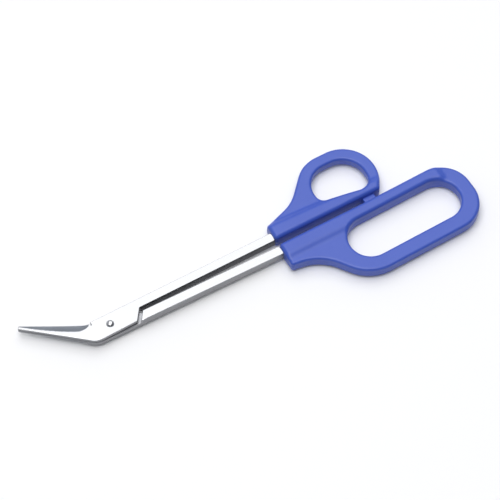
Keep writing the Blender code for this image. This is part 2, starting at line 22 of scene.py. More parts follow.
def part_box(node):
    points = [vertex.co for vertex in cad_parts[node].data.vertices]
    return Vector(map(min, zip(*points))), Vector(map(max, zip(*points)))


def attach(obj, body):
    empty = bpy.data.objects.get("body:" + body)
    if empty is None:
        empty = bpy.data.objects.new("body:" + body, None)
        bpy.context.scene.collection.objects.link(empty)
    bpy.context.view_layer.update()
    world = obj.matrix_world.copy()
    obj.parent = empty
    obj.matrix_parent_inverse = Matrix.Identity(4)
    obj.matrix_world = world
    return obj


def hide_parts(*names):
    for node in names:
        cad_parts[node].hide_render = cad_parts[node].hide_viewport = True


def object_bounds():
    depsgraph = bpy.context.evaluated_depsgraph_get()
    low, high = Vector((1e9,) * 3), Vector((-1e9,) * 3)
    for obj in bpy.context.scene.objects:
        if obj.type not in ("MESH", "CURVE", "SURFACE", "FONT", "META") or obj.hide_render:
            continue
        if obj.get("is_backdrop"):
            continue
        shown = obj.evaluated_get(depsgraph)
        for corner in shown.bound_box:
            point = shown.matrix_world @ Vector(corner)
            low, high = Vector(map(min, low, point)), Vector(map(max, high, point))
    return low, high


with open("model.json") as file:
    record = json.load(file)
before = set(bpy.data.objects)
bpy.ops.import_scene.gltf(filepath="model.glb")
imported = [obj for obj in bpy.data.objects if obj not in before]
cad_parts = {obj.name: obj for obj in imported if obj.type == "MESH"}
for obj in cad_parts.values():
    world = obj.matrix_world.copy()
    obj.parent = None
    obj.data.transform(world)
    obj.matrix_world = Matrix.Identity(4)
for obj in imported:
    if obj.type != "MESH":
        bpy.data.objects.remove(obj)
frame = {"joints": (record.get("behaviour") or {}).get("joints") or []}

log = logging.getLogger("scissors")

MM = 0.001
PACKED_GAP = 0.3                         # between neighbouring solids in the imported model
LEAST_BEND = 0.05                        # share of a corner's radius that an inset leaves
THINNEST_WALL = 0.45                     # largest share of the height that one edge rounds off
CLOSE = 1e-3                             # places nearer than this to an outline lie on it
BATCH = 2000                             # places whose distances are worked out at once

Points = np.ndarray                      # (n, 2) places in the plan
Heights = Callable[[Points], np.ndarray]
Corner = tuple[float, float, float]      # x, y and corner radius


class Side(Enum):
    """Which half a piece belongs to, as the sign of its Y."""

    THUMB = 1
    FINGER = -1


class Finish(Enum):
    """Material slots of the steel pieces."""

    POLISHED = 0                         # the strip's flats
    GROUND = 1                           # the bevels
    MACHINED_AND_SHADED = 2                         # outer sides and milled lap faces, darker as painted shade
    INNER_SHADE = 3                          # inner sides, darker: painted shade of the gap between the halves


# ---------------------------------------------------------------- plan geometry

def direction(angle: float) -> np.ndarray:
    """Return the unit vector at an angle in radians."""
    return np.array((math.cos(angle), math.sin(angle)))


def left_of(vector: np.ndarray) -> np.ndarray:
    """Return the vector turned a quarter turn to the left."""
    return np.array((-vector[1], vector[0]))


def crossing(point: Sequence[float], angle: float,
             other: Sequence[float], other_angle: float) -> np.ndarray:
    """Find where two lines in the plan cross.

    Args:
        point: A point on the first line.
        angle: The first line's direction.
        other: A point on the second line.
        other_angle: The second line's direction.

    Returns:
        The crossing point.
    """
    first, second = direction(angle), direction(other_angle)
    gap = np.subtract(other, point)
    along = np.dot(gap, left_of(second)) / np.dot(first, left_of(second))
    return np.add(point, first * along)


def height_at(point: Sequence[float], angle: float, x: float) -> float:
    """Return the Y at X of the line through a point."""
    return point[1] + (x - point[0]) * math.tan(angle)


def ease(share: np.ndarray) -> np.ndarray:
    """Return a smooth step from 0 to 1 as the share goes from 0 to 1."""
    t = np.clip(share, 0.0, 1.0)
    return t * t * t * (t * (t * 6.0 - 15.0) + 10.0)


def edge_drop(distance: np.ndarray, radius: np.ndarray) -> np.ndarray:
    """Return how far a rounded edge falls at a distance inside its outline.

    Args:
        distance: Distances from the outline.
        radius: The rounding radius at each place.

    Returns:
        The fall below the face, zero once the distance reaches the radius.
    """
    reach = radius - np.clip(distance, 0.0, radius)
    return radius - np.sqrt(np.maximum(radius ** 2 - reach ** 2, 0.0))


@dataclass(frozen=True)
class Outline:
    """A closed anticlockwise outline whose corners are rounded."""

    corners: Sequence[Corner]
    arc_step: float = math.radians(4.0)
    run: float = 1.0                     # longest straight piece

    def arcs(self, inset: float) -> list[np.ndarray]:
        """Round every corner.

        Args:
            inset: How far the whole outline moves inwards.

        Returns:
            One array of points for each corner.
        """
        arcs = []
        count = len(self.corners)
        for i, (x, y, radius) in enumerate(self.corners):
            corner = np.array((x, y))
            arrive = corner - self.corners[i - 1][:2]
            leave = np.array(self.corners[(i + 1) % count][:2]) - corner
            arrive /= np.linalg.norm(arrive)
            leave /= np.linalg.norm(leave)
            turn = math.atan2(arrive[0] * leave[1] - arrive[1] * leave[0], arrive @ leave)
            middle = left_of(arrive) + left_of(leave)
            middle /= np.linalg.norm(middle)
            apex = corner + middle * inset / math.cos(turn / 2.0)
            if radius == 0.0:
                arcs.append(apex[None, :])
                continue
            side = math.copysign(1.0, turn)
            bend = max(radius - side * inset, radius * LEAST_BEND)
            centre = apex + middle * side * bend / math.cos(turn / 2.0)
            steps = max(1, math.ceil(abs(turn) / self.arc_step))
            start = math.atan2(arrive[1], arrive[0]) - side * math.pi / 2.0
            angles = start + turn * np.arange(steps + 1) / steps
            arcs.append(centre + bend * np.stack((np.cos(angles), np.sin(angles)), 1))
        return arcs

    def polygon(self) -> Points:
        """Return the outline's points, straights undivided."""
        return np.vstack(self.arcs(0.0))

    def ring(self, inset: float = 0.0) -> Points:
        """Round the outline at an inset, and divide its long straights.

        Args:
            inset: How far the whole outline moves inwards.

        Returns:
            The points, as many at one inset as at another.
        """
        flat, arcs = self.arcs(0.0), self.arcs(inset)
        points = []
        for i, arc in enumerate(arcs):
            j = (i + 1) % len(arcs)
            points.append(arc)
            length = np.linalg.norm(flat[j][0] - flat[i][-1])
            shares = np.linspace(0.0, 1.0, max(1, math.ceil(length / self.run)) + 1)[1:-1, None]
            points.append(arc[-1] * (1.0 - shares) + arcs[j][0] * shares)
        return np.vstack(points)


def inside(polygon: Points, places: Points) -> np.ndarray:
    """Tell which places lie inside a closed polygon.

    Args:
        polygon: The polygon's points.
        places: The places in question.

    Returns:
        A truth value for each place.
    """
    x, y = places[:, 0, None], places[:, 1, None]
    x0, y0 = polygon[:, 0], polygon[:, 1]
    x1, y1 = np.roll(x0, -1), np.roll(y0, -1)
    spans = (y0 > y) != (y1 > y)
    rise = np.where(y1 == y0, 1.0, y1 - y0)
    return (spans & (x < x0 + (y - y0) * (x1 - x0) / rise)).sum(1) % 2 == 1


def depth_in(polygon: Points, places: Points) -> np.ndarray:
    """Measure each place's distance to a polygon.

    Args:
        polygon: The polygon's points.
        places: The places in question.

    Returns:
        The distances, positive inside the polygon.
    """
    start = polygon[None, :, :]
    run = np.roll(polygon, -1, 0)[None, :, :] - start
    length = np.maximum((run ** 2).sum(2), 1e-12)
    best = np.empty(len(places))
    for low in range(0, len(places), BATCH):
        gap = places[low:low + BATCH, None, :] - start
        share = np.clip((gap * run).sum(2) / length, 0.0, 1.0)
        best[low:low + BATCH] = np.sqrt(((gap - run * share[..., None]) ** 2).sum(2).min(1))
    return np.where(inside(polygon, places), best, -best)


# ---------------------------------------------------------------- solids

def store(name: str, vertices: np.ndarray, faces: Sequence[Sequence[int]]) -> bpy.types.Object:
    """Store a mesh given in millimetres from the pivot.

    Args:
        name: The piece's name.
        vertices: (n, 3) places.
        faces: Vertex numbers of each face.

    Returns:
        The new object, smooth shaded.
    """
    mesh = bpy.data.meshes.new(name)
    mesh.from_pydata(np.asarray(vertices) * MM + np.array((*LAYOUT.pivot.xy, 0.0)), [], faces)
    mesh.validate()
    mesh.shade_smooth()
    piece = bpy.data.objects.new(name, mesh)
    bpy.context.collection.objects.link(piece)
    return piece


@dataclass(frozen=True)
class Layout:
    """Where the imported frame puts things: the pivot in metres, the rest in mm."""

    pivot: Vector
    middle: float                        # height of the plane where the halves meet
    steel_low: float
    steel_high: float
    handle_low: float
    handle_high: float
    handle_front: float
    thumb_loop: np.ndarray               # rear and far extremes of the thumb loop
    finger_rear: float

    @staticmethod
    def read() -> "Layout":
        """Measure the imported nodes.

        Returns:
            The layout that every piece is built to.
        """
        pivot = Vector(frame["joints"][0]["pos_m"])
        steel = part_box("finger_blade")
        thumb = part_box("thumb_handle")
        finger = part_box("finger_handle")
        return Layout(pivot=pivot, middle=pivot.z / MM,
                      steel_low=steel[0].z / MM, steel_high=steel[1].z / MM,
                      handle_low=finger[0].z / MM, handle_high=finger[1].z / MM,
                      handle_front=(thumb[0].x - pivot.x) / MM,
                      thumb_loop=np.array((thumb[1] - pivot).xy) / MM,
                      finger_rear=(finger[1].x - pivot.x) / MM)


LAYOUT = Layout.read()


@dataclass
class Slab:
    """A closed solid between two height surfaces over a plan outline.

    The outline's rim is followed by rings of vertices, so that its edges can
    be rounded, and a hexagonal field of vertices carries the faces' shape.
    """

    name: str
    outline: Outline
    top: Heights
    bottom: Heights
    edge: Callable[[Points], np.ndarray]     # rounding radius at each place
    under_edge: Callable[[Points], np.ndarray] | None = None   # below, where it differs
    widest_edge: float = 1.0
    edge_steps: int = 3
    holes: Sequence[Outline] = ()
    creases: Sequence[Points] = ()
    spacing: float = 1.0
    shaped: Callable[[Points], np.ndarray] | None = None   # where the field is needed
    seam: float = 0.0                        # height of the mould's parting line
    seam_width: float = 0.25

    def rings(self) -> list[Points]:
        """Set out the rings of vertices along the outline and the holes.

        Returns:
            One closed ring of points for each step of each rounded edge.
        """
        angles = np.linspace(0.0, math.pi / 2.0, self.edge_steps + 1)
        insets = self.widest_edge * (1.0 - np.cos(angles))
        rings = [self.outline.ring(inset) for inset in insets]
        for hole in self.holes:
            rings += [hole.ring(-inset) for inset in insets]
        return rings

    def depth(self, places: Points) -> np.ndarray:
        """Measure how deep places lie inside the material's edge.

        Args:
            places: The places in question.

        Returns:
            Their distances from the nearest edge, negative outside.
        """
        depth = depth_in(self.outline.polygon(), places)
        for hole in self.holes:
            depth = np.minimum(depth, -depth_in(hole.polygon(), places))
        return depth

    def filling(self) -> Points:
        """Fill the faces with a hexagonal field, away from rings and creases.

        Returns:
            The field's places.
        """
        polygon = self.outline.polygon()
        low, high = polygon.min(0), polygon.max(0)
        rise = self.spacing * math.sqrt(3.0) / 2.0
        rows = np.arange(low[1], high[1], rise)
        columns = np.arange(low[0], high[0], self.spacing)
        x, y = np.meshgrid(columns, rows)
        x = x + (np.arange(len(rows)) % 2)[:, None] * self.spacing / 2.0
        places = np.stack((x.ravel(), y.ravel()), 1)
        places = places[self.depth(places) > self.widest_edge + self.spacing / 3.0]
        if self.shaped is not None:
            places = places[self.shaped(places)]
        for crease in self.creases:
            near = np.abs(places[:, None, :] - crease[None, :, :]).max(2).min(1)
            places = places[near > self.spacing / 2.0]
        return places

    def triangles(self) -> tuple[Points, np.ndarray]:
        """Triangulate the plan.

        Returns:
            The vertices, and the triangles inside the material, anticlockwise.
        """
        points, edges = [], []
        for ring in self.rings():
            start = len(points)
            count = len(ring)
            points += ring.tolist()
            edges += [(start + i, start + (i + 1) % count) for i in range(count)]
        for crease in self.creases:
            start = len(points)
            points += crease.tolist()
            edges += [(start + i, start + i + 1) for i in range(len(crease) - 1)]
        points += self.filling().tolist()
        found = delaunay_2d_cdt([Vector(p) for p in points], edges, [], 0, 1e-5, False)
        places = np.array([tuple(p) for p in found[0]])
        faces = np.array([tuple(f) for f in found[2]])
        corners = places[faces]
        first, second = corners[:, 1] - corners[:, 0], corners[:, 2] - corners[:, 0]
        area = first[:, 0] * second[:, 1] - first[:, 1] * second[:, 0]
        faces[area < 0.0] = faces[area < 0.0][:, ::-1]
        centres = corners.mean(1)
        keep = inside(self.outline.polygon(), centres) & (np.abs(area) > 1e-9)
        for hole in self.holes:
            keep &= ~inside(hole.polygon(), centres)
        faces = faces[keep]
        used, numbers = np.unique(faces, return_inverse=True)
        return places[used], numbers.reshape(faces.shape)

    def build(self) -> bpy.types.Object:
        """Make the closed mesh: both faces, and walls along every free edge.

        Returns:
            The new object.
        """
        places, faces = self.triangles()
        depth = self.depth(places)
        depth[depth < CLOSE] = 0.0
        top, bottom = self.top(places), self.bottom(places)
        limit = (top - bottom) * THINNEST_WALL
        upper = np.minimum(self.edge(places), limit)
        lower = np.minimum((self.under_edge or self.edge)(places), limit)
        count = len(places)
        vertices = [np.column_stack((places, top - edge_drop(depth, upper))),
                    np.column_stack((places, bottom + edge_drop(depth, lower)))]
        polygons = faces.tolist() + (faces[:, ::-1] + count).tolist()

        sides = np.vstack((faces[:, (0, 1)], faces[:, (1, 2)], faces[:, (2, 0)]))
        known = set(map(tuple, sides.tolist()))
        free = [(a, b) for a, b in known if (b, a) not in known]
        free.sort()
        rim = sorted({a for a, _ in free})
        rows = [{a: a for a in rim}]
        if self.seam > 0.0:
            for line in self.parting_line(places, rim, free):
                first = sum(len(part) for part in vertices)
                vertices.append(line)
                rows.append({a: first + k for k, a in enumerate(rim)})
        rows.append({a: a + count for a in rim})
        for above, below in zip(rows, rows[1:]):
            polygons += [(above[b], above[a], below[a], below[b]) for a, b in free]
        return store(self.name, np.vstack(vertices), polygons)

    def parting_line(self, places: Points, rim: Sequence[int],
                     free: Sequence[tuple[int, int]]) -> list[np.ndarray]:
        """Set out the mould's parting line, a low ridge round the walls.

        Args:
            places: The plan's vertices.
            rim: Numbers of the vertices on the walls.
            free: Pairs of those numbers along the walls.

        Returns:
            Three lines of (x, y, z) places: above, on and below the ridge.
        """
        outward = {a: np.zeros(2) for a in rim}
        for a, b in free:
            run = places[b] - places[a]
            normal = -left_of(run / np.linalg.norm(run))
            outward[a] = outward[a] + normal
            outward[b] = outward[b] + normal
        lines = []
        for rise, proud in ((0.5, 0.0), (0.0, self.seam), (-0.5, 0.0)):
            z = LAYOUT.middle + rise * self.seam_width
            shifts = [outward[a] / np.linalg.norm(outward[a]) * proud for a in rim]
            lines.append(np.array([(*(places[a] + shift), z) for a, shift in zip(rim, shifts)]))
        return lines


def turned(name: str, profile: Sequence[tuple[float, float]], segments: int = 96) -> bpy.types.Object:
    """Turn a profile about the pivot axis.

    Args:
        name: The piece's name.
        profile: (radius, height) points from the bottom round to the top.
        segments: Steps in the turn.

    Returns:
        The new object.
    """
    bm = bmesh.new()
    line = [bm.verts.new((radius, 0.0, z)) for radius, z in profile]
    edges = [bm.edges.new(pair) for pair in zip(line, line[1:])]
    bmesh.ops.spin(bm, geom=line + edges, cent=(0.0, 0.0, 0.0), axis=(0.0, 0.0, 1.0),
                   angle=math.tau, steps=segments, use_merge=True)
    bmesh.ops.remove_doubles(bm, verts=bm.verts, dist=1e-4)
    bmesh.ops.recalc_face_normals(bm, faces=bm.faces)
    bm.verts.index_update()
    vertices = np.array([tuple(v.co) for v in bm.verts])
    faces = [[v.index for v in f.verts] for f in bm.faces]
    bm.free()
    return store(name, vertices, faces)


def settle(piece: bpy.types.Object, sharp: float) -> None:
    """Mark a piece's sharp edges, and keep its flats flat.

    Args:
        piece: The piece.
        sharp: The angle in degrees from which an edge is sharp.
    """
    piece.data.set_sharp_from_angle(angle=math.radians(sharp))
    normals = piece.modifiers.new("flat_faces", "WEIGHTED_NORMAL")
    normals.keep_sharp = True


def combine(piece: bpy.types.Object, tool: bpy.types.Object, operation: str) -> None:
    """Apply a Boolean with a tool shape, then remove the tool.

    Args:
        piece: The piece that changes.
        tool: The shape that is added or taken away.
        operation: "UNION" or "DIFFERENCE".
    """
    boolean = piece.modifiers.new("combine", "BOOLEAN")
    boolean.operation = operation
    boolean.solver = "MANIFOLD"
    boolean.object = tool
    graph = bpy.context.evaluated_depsgraph_get()
    made = bpy.data.meshes.new_from_object(piece.evaluated_get(graph))
    made.materials.clear()
    piece.modifiers.remove(boolean)
    piece.data = made
    bpy.data.objects.remove(tool, do_unlink=True)


# ---------------------------------------------------------------- steel halves

@dataclass(frozen=True)
class Grind:
    """A hollow-ground bevel along a blade's cutting edge.

    Places are read as a distance along the edge from the tip, and a distance
    into the blade from the edge.
    """

    origin: np.ndarray
    angle: float                         # of the edge, from the tip to the heel
    turn: float                          # -1 where the blade lies right of the edge, else 1
    length: float                        # tip to where the wheel runs out
    tip_width: float = 0.5
    full_width: float = 3.6
    growth: float = 27.0                 # from the tip to the full width
    run_out: float = 6.0
    slope: float = 0.33
    hollow: float = 0.35                 # how much steeper it is at its inner side

    def read(self, places: Points) -> tuple[np.ndarray, np.ndarray]:
        """Read places against the edge.

        Args:
            places: The places in question.

        Returns:
            Their distances along the edge, and into the blade from it.
        """
        along = direction(self.angle)
        gap = places - self.origin
        return gap @ along, gap @ left_of(along) * self.turn

    def width(self, along: np.ndarray) -> np.ndarray:
        """Work out the bevel's width, which grows from the tip and runs out at the heel.

        Args:
            along: Distances along the edge from the tip.

        Returns:
            The width at each distance.
        """
        grown = np.sin(np.clip(along / self.growth, -0.1, 1.0) * math.pi / 2.0)
        width = self.tip_width + (self.full_width - self.tip_width) * grown
        past = np.clip((along - self.length + self.run_out) / self.run_out, 0.0, 1.0)
        return width * np.sqrt(1.0 - past ** 2)

    def depth(self, places: Points) -> np.ndarray:
        """Work out how much steel the bevel takes away.

        Args:
            places: The places in question.

        Returns:
            The depth below the flat at each place.
        """
        along, across = self.read(places)
        width = self.width(along)
        left = np.maximum(width - np.maximum(across, 0.0), 0.0)
        share = np.clip(across / np.maximum(width, 1e-6), 0.0, 1.0)
        return self.slope * left * (1.0 + self.hollow * share)

    def crease(self) -> Points:
        """Trace the line where the bevel meets the flat.

        Returns:
            The line's points, from before the tip to the heel.
        """
        along = np.concatenate((np.arange(-1.0, self.length - self.run_out, 1.0),
                                self.length - self.run_out
                                + self.run_out * np.sin(np.linspace(0.0, math.pi / 2.0, 16))))
        run = direction(self.angle)
        across = self.width(along)[:, None] * left_of(run) * self.turn
        return self.origin + along[:, None] * run + across


@dataclass
class SteelHalf:
    """A blade, its pivot plate, bar and tang, ground from one strip."""

    name: str
    side: Side
    splay: float                         # of the bar, in radians
    tang_length: float
    bar_width: float = 4.2
    plate_half: float = 5.0
    lap_length: float = 10.9
    lap_slant: float = math.radians(54.5)
    lap_opening: float = 2.0
    lap_corner: float = 0.9
    shoulder_inset: float = 0.4          # how much the plate narrows to its shoulder
    shoulder_corner: float = 0.6
    slide: float = 0.05                  # gap between the two plates
    butt: float = 0.04                   # gap between a bar's shoulder and its handle
    heel: float = 7.3
    heel_notch: float = 0.9
    tip: tuple[float, float] = (-35.1, 19.05)
    edge_angle: float = math.radians(-28.6)
    spine_angle: float = math.radians(-39.9)
    tip_width: float = 1.5
    tip_corner: float = 0.6
    spine_corner: float = 7.5
    tip_thickness: float = 1.5
    edge_round: float = 0.25
    crevice_round: float = 0.8           # where the two plates meet at their sides
    crevice_steps: int = 7
    heel_corner: float = 0.3
    notch_corner: float = 0.15
    taper_power: float = 1.4             # how late the blade thins towards its tip
    blade_field: float = 2.0             # how far the curved faces' field reaches past the heel
    bore: float = 3.1
    tang_width: float = 2.7
    tang_inset: float = 1.0
    tang_corner: float = 0.6
    key_diameter: float = 1.4
    key_distance: float = 16.0
    grind: Grind = field(init=False)

    def __post_init__(self) -> None:
        """Work out where the bevel lies."""
        if self.side is Side.THUMB:
            reach = (-self.heel - self.heel_notch - self.tip[0]) / math.cos(self.edge_angle)
            self.grind = Grind(np.array(self.tip), self.edge_angle, -1.0, reach)
        else:
            reach = (-self.heel - self.spine_corner / 2.0 - self.tip[0]) / math.cos(self.spine_angle)
            self.grind = Grind(self.spine_start(), self.spine_angle, 1.0, reach)

    def spine_start(self) -> np.ndarray:
        """Return the low point of the blade's blunt end."""
        return np.array(self.tip) - left_of(direction(self.spine_angle)) * self.tip_width

    def inner(self) -> tuple[float, float]:
        """Return a point on the bar's inner side, with its outer side up."""
        return 0.0, self.plate_half - self.bar_width

    def bar_end(self) -> float:
        """Return the X where the bar's shoulders butt on the handle."""
        return LAYOUT.handle_front - self.butt

    def tang(self, grow: float = 0.0, front: float | None = None) -> list[Corner]:
        """Return the tang's corners, with the half's outer side up.

        Args:
            grow: How far the outline is let out, for the handle's pocket.
            front: Where it starts, or None for the bar's end.

        Returns:
            Four corners.
        """
        low = (0.0, self.inner()[1] + self.tang_inset - grow)
        start = self.bar_end() if front is None else front
        end = LAYOUT.handle_front + self.tang_length + grow
        wide = self.tang_width + 2.0 * grow
        y0, y1 = height_at(low, self.splay, start), height_at(low, self.splay, end)
        return [(start, y0, 0.0), (end, y1, self.tang_corner),
                (end, y1 + wide, self.tang_corner), (start, y0 + wide, 0.0)]

    def key_place(self) -> tuple[float, float]:
        """Work out where the key hole goes through the tang.

        Returns:
            The middle of the hole.
        """
        x = LAYOUT.handle_front + self.key_distance
        low = (0.0, self.inner()[1] + self.tang_inset)
        return x, self.side.value * (height_at(low, self.splay, x) + self.tang_width / 2.0)

    def rear(self) -> list[Corner]:
        """Set out the outline behind the blade.

        Returns:
            Its corners, anticlockwise.
        """
        end = (self.bar_end(), 0.0)
        shoulder = (self.lap_length, self.shoulder_inset - self.plate_half)
        upright = math.pi / 2.0
        corners = [(*shoulder, self.shoulder_corner),
                   (*crossing(shoulder, self.lap_slant, self.inner(), self.splay), self.lap_corner),
                   (*crossing(end, upright, self.inner(), self.splay), 0.0),
                   *self.tang(),
                   (*crossing(end, upright, (0.0, self.plate_half), self.splay), 0.0)]
        return corners if self.side is Side.THUMB else mirrored(corners)

    def front(self) -> list[Corner]:
        """Set out the outline of the plate's front and the blade.

        Returns:
            Its corners, anticlockwise.
        """
        heel = (-self.heel, self.plate_half)
        back = crossing(self.tip, self.edge_angle, heel, math.pi / 2.0)
        spine = self.spine_start()
        corner = crossing(spine, self.spine_angle, (0.0, -self.plate_half), 0.0)
        corners = [(*heel, 0.0)]
        if self.side is Side.THUMB:
            foot = back - direction(self.edge_angle) * self.heel_notch
            corners += [(back[0], back[1] - self.heel_notch, self.notch_corner), (*foot, 0.0)]
        else:
            corners.append((*back, self.heel_corner))
        return corners + [(*self.tip, self.tip_corner), (*spine, self.tip_corner),
                          (*corner, self.spine_corner)]

    def behind_step(self, places: Points) -> np.ndarray:
        """Measure how far places lie behind the step of the half lap.

        Args:
            places: The places in question.

        Returns:
            Their distances behind the step, negative where the plate is lapped.
        """
        slant = self.side.value * self.lap_slant
        across = np.array((math.sin(slant) * self.side.value, math.cos(slant) * self.side.value))
        foot = np.array((self.lap_length + self.lap_opening,
                         self.side.value * (self.plate_half - self.shoulder_inset)))
        return (places - foot) @ across

    def step_line(self, behind: float) -> Points:
        """Trace a line along the step of the half lap.

        Args:
            behind: The line's distance behind the step.

        Returns:
            The line's two ends, just past the plate's sides.
        """
        slant = -self.side.value * self.lap_slant
        foot = (self.lap_length + self.lap_opening + behind / math.sin(self.lap_slant),
                self.side.value * (self.plate_half - self.shoulder_inset))
        reach = self.plate_half + self.edge_round
        return np.array([crossing(foot, slant, (0.0, y), 0.0) for y in (-reach, reach)])

    def taper(self, places: Points) -> np.ndarray:
        """Work out how much the blade's outer face falls towards its tip.

        Args:
            places: The places in question.

        Returns:
            The fall at each place.
        """
        run = np.array(self.tip) - (-self.heel, 0.0)
        share = (places - (-self.heel, 0.0)) @ run / (run @ run)
        plate = (LAYOUT.steel_high - LAYOUT.steel_low - self.slide) / 2.0
        return (plate - self.tip_thickness) * np.clip(share, 0.0, 1.2) ** self.taper_power

    def outer_fall(self, places: Points) -> np.ndarray:
        """Return how far the outer face lies below the bar's face."""
        return self.taper(places) + self.grind.depth(places)

    def inner_level(self, places: Points, lapped: float, full: float) -> np.ndarray:
        """Return the inner face's height, stepped where the half lap ends."""
        return np.where(self.behind_step(places) < 0.0, lapped, full)

    def top(self, places: Points) -> np.ndarray:
        """Work out the upper face.

        Args:
            places: The places in question.

        Returns:
            Its height at each place.
        """
        if self.side is Side.THUMB:
            return LAYOUT.steel_high - self.outer_fall(places)
        level = self.inner_level(places, LAYOUT.middle - self.slide / 2.0, LAYOUT.steel_high)
        fall = edge_drop(np.abs(self.behind_step(places)), np.full(len(places), self.edge_round))
        return level - np.where(self.behind_step(places) > 0.0, fall, 0.0)

    def bottom(self, places: Points) -> np.ndarray:
        """Work out the lower face.

        Args:
            places: The places in question.

        Returns:
            Its height at each place.
        """
        if self.side is Side.FINGER:
            return LAYOUT.steel_low + self.outer_fall(places)
        return self.inner_level(places, LAYOUT.middle + self.slide / 2.0, LAYOUT.steel_low)

    def edge(self, places: Points) -> np.ndarray:
        """Return the rounding of the upper face's edges."""
        return np.full(len(places), self.edge_round)

    def under_edge(self, places: Points) -> np.ndarray:
        """Work out the rounding of the lower face's edges, large over the other plate.

        Args:
            places: The places in question.

        Returns:
            The radius at each place.
        """
        if self.side is Side.FINGER:
            return self.edge(places)
        return np.where(self.behind_step(places) < 0.0, self.crevice_round, self.edge_round)

    def in_blade(self, places: Points) -> np.ndarray:
        """Tell which places lie in the blade, where the faces curve."""
        return places[:, 0] < -self.heel + self.blade_field

    def bore_outline(self, middle: tuple[float, float], diameter: float) -> Outline:
        """Set out a round hole.

        Args:
            middle: The hole's middle.
            diameter: The hole's diameter.

        Returns:
            The hole's outline.
        """
        x, y = middle
        r = diameter / 2.0
        square = ((-r, -r), (r, -r), (r, r), (-r, r))
        return Outline([(x + dx, y + dy, r * 0.999) for dx, dy in square], math.radians(6.0))

    def build(self) -> bpy.types.Object:
        """Make the half, with its bevel and its sides as material zones.

        Returns:
            The new object.
        """
        crisp, shoulder = 0.01, 0.07     # lines that hold the step upright and its edge round
        creases = [self.grind.crease()]
        creases += [self.step_line(behind) for behind in (-crisp, crisp, shoulder, self.edge_round)]
        slab = Slab(self.name, Outline(self.rear() + self.front(), run=2.0),
                    self.top, self.bottom, self.edge, self.under_edge,
                    widest_edge=self.crevice_round, edge_steps=self.crevice_steps,
                    holes=(self.bore_outline((0.0, 0.0), self.bore),
                           self.bore_outline(self.key_place(), self.key_diameter)),
                    creases=creases, spacing=0.7, shaped=self.in_blade)
        piece = slab.build()
        self.mark_finishes(piece)
        settle(piece, sharp=24.0)
        return piece

    def mark_finishes(self, piece: bpy.types.Object) -> None:
        """Give each face its finish: the wheel's bevel, and darker steels on the sides and the lap
        faces, which paint their shade.

        Args:
            piece: The half's mesh.
        """
        level, outward, along_bar = 0.3, 0.5, 0.9       # limits of a face's direction
        least_cut = 1e-4
        faces = piece.data.polygons
        centres = np.empty(len(faces) * 3)
        normals = np.empty(len(faces) * 3)
        faces.foreach_get("center", centres)
        faces.foreach_get("normal", normals)
        centres = centres.reshape(-1, 3) / MM - np.array((*LAYOUT.pivot.xy, 0.0)) / MM
        facing = normals.reshape(-1, 3)[:, 2] * self.side.value
        finish = np.full(len(faces), Finish.POLISHED.value, np.int32)
        upright = np.abs(facing) < level
        inward = normals.reshape(-1, 3)[:, 1] * self.side.value < -along_bar
        # Upright faces take a darker steel: painted shade of the sides.
        finish[upright] = Finish.MACHINED_AND_SHADED.value
        # Inner sides behind the lap take the darkest steel: painted shade of the gap between the
        # bars.
        finish[upright & inward & (centres[:, 0] > self.lap_length)] = Finish.INNER_SHADE.value
        lapped = self.behind_step(centres[:, :2]) < 0.0
        # Lapped faces, recessed at the step, take the same painted-shade steel.
        finish[lapped & (facing < -level)] = Finish.MACHINED_AND_SHADED.value
        cut = self.grind.depth(centres[:, :2]) > least_cut
        finish[cut & (facing > outward)] = Finish.GROUND.value
        faces.foreach_set("material_index", finish)


def mirrored(corners: Sequence[Corner]) -> list[Corner]:
    """Mirror corners to the other side, kept anticlockwise."""
    return [(x, -y, radius) for x, y, radius in reversed(corners)]


# ---------------------------------------------------------------- rivet and washer

@dataclass(frozen=True)
class PivotRivet:
    """The domed rivet with its peened tail, and the washer under the plates."""

    shank: float = 2.5
    head: float = 3.4
    head_wall: float = 0.1               # upright rim under the dome
    seat: float = 0.04                   # gap between the head and the plate
    tail: float = 4.4
    tail_round: float = 0.3
    washer: float = 6.6
    washer_thickness: float = 0.5
    washer_round: float = 0.12
    fit: float = 0.06

    def dome(self) -> list[tuple[float, float]]:
        """Draw the head's profile.

        Returns:
            (radius, height) points from its rim to its crown.
        """
        foot = LAYOUT.steel_high + self.seat + self.head_wall
        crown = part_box("pivot_rivet")[1].z / MM
        radius = self.head / 2.0
        angles = np.linspace(0.0, math.pi / 2.0, 14)
        return [(radius * math.cos(a), foot + (crown - foot) * math.sin(a)) for a in angles]

    def rivet(self) -> bpy.types.Object:
        """Make tail, shank and head in one turning.

        Returns:
            The new object.
        """
        tail = self.tail / 2.0
        tail_top = LAYOUT.steel_low - 2.0 * self.fit - self.washer_thickness
        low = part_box("pivot_rivet")[0].z / MM
        soft = [(tail - self.tail_round * (1.0 - math.sin(a)),
                 low + self.tail_round * (1.0 - math.cos(a)))
                for a in np.linspace(0.0, math.pi / 2.0, 6)]
        seat = LAYOUT.steel_high + self.seat
        profile = [(0.0, low), *soft, (tail, tail_top), (self.shank / 2.0, tail_top),
                   (self.shank / 2.0, seat), (self.head / 2.0, seat), *self.dome()]
        piece = turned("rivet", profile)
        settle(piece, sharp=40.0)
        return piece

    def ring(self) -> bpy.types.Object:
        """Make the washer, its rims broken.

        Returns:
            The new object.
        """
        top = LAYOUT.steel_low - self.fit
        low = top - self.washer_thickness
        inner, outer = self.shank / 2.0 + self.fit, self.washer / 2.0
        soft = self.washer_round
        profile = [(inner, low + soft), (inner + soft, low), (outer - soft, low), (outer, low + soft),
                   (outer, top - soft), (outer - soft, top), (inner + soft, top),
                   (inner, top - soft), (inner, low + soft)]
        piece = turned("washer", profile)
        settle(piece, sharp=40.0)
        return piece


# ---------------------------------------------------------------- handles

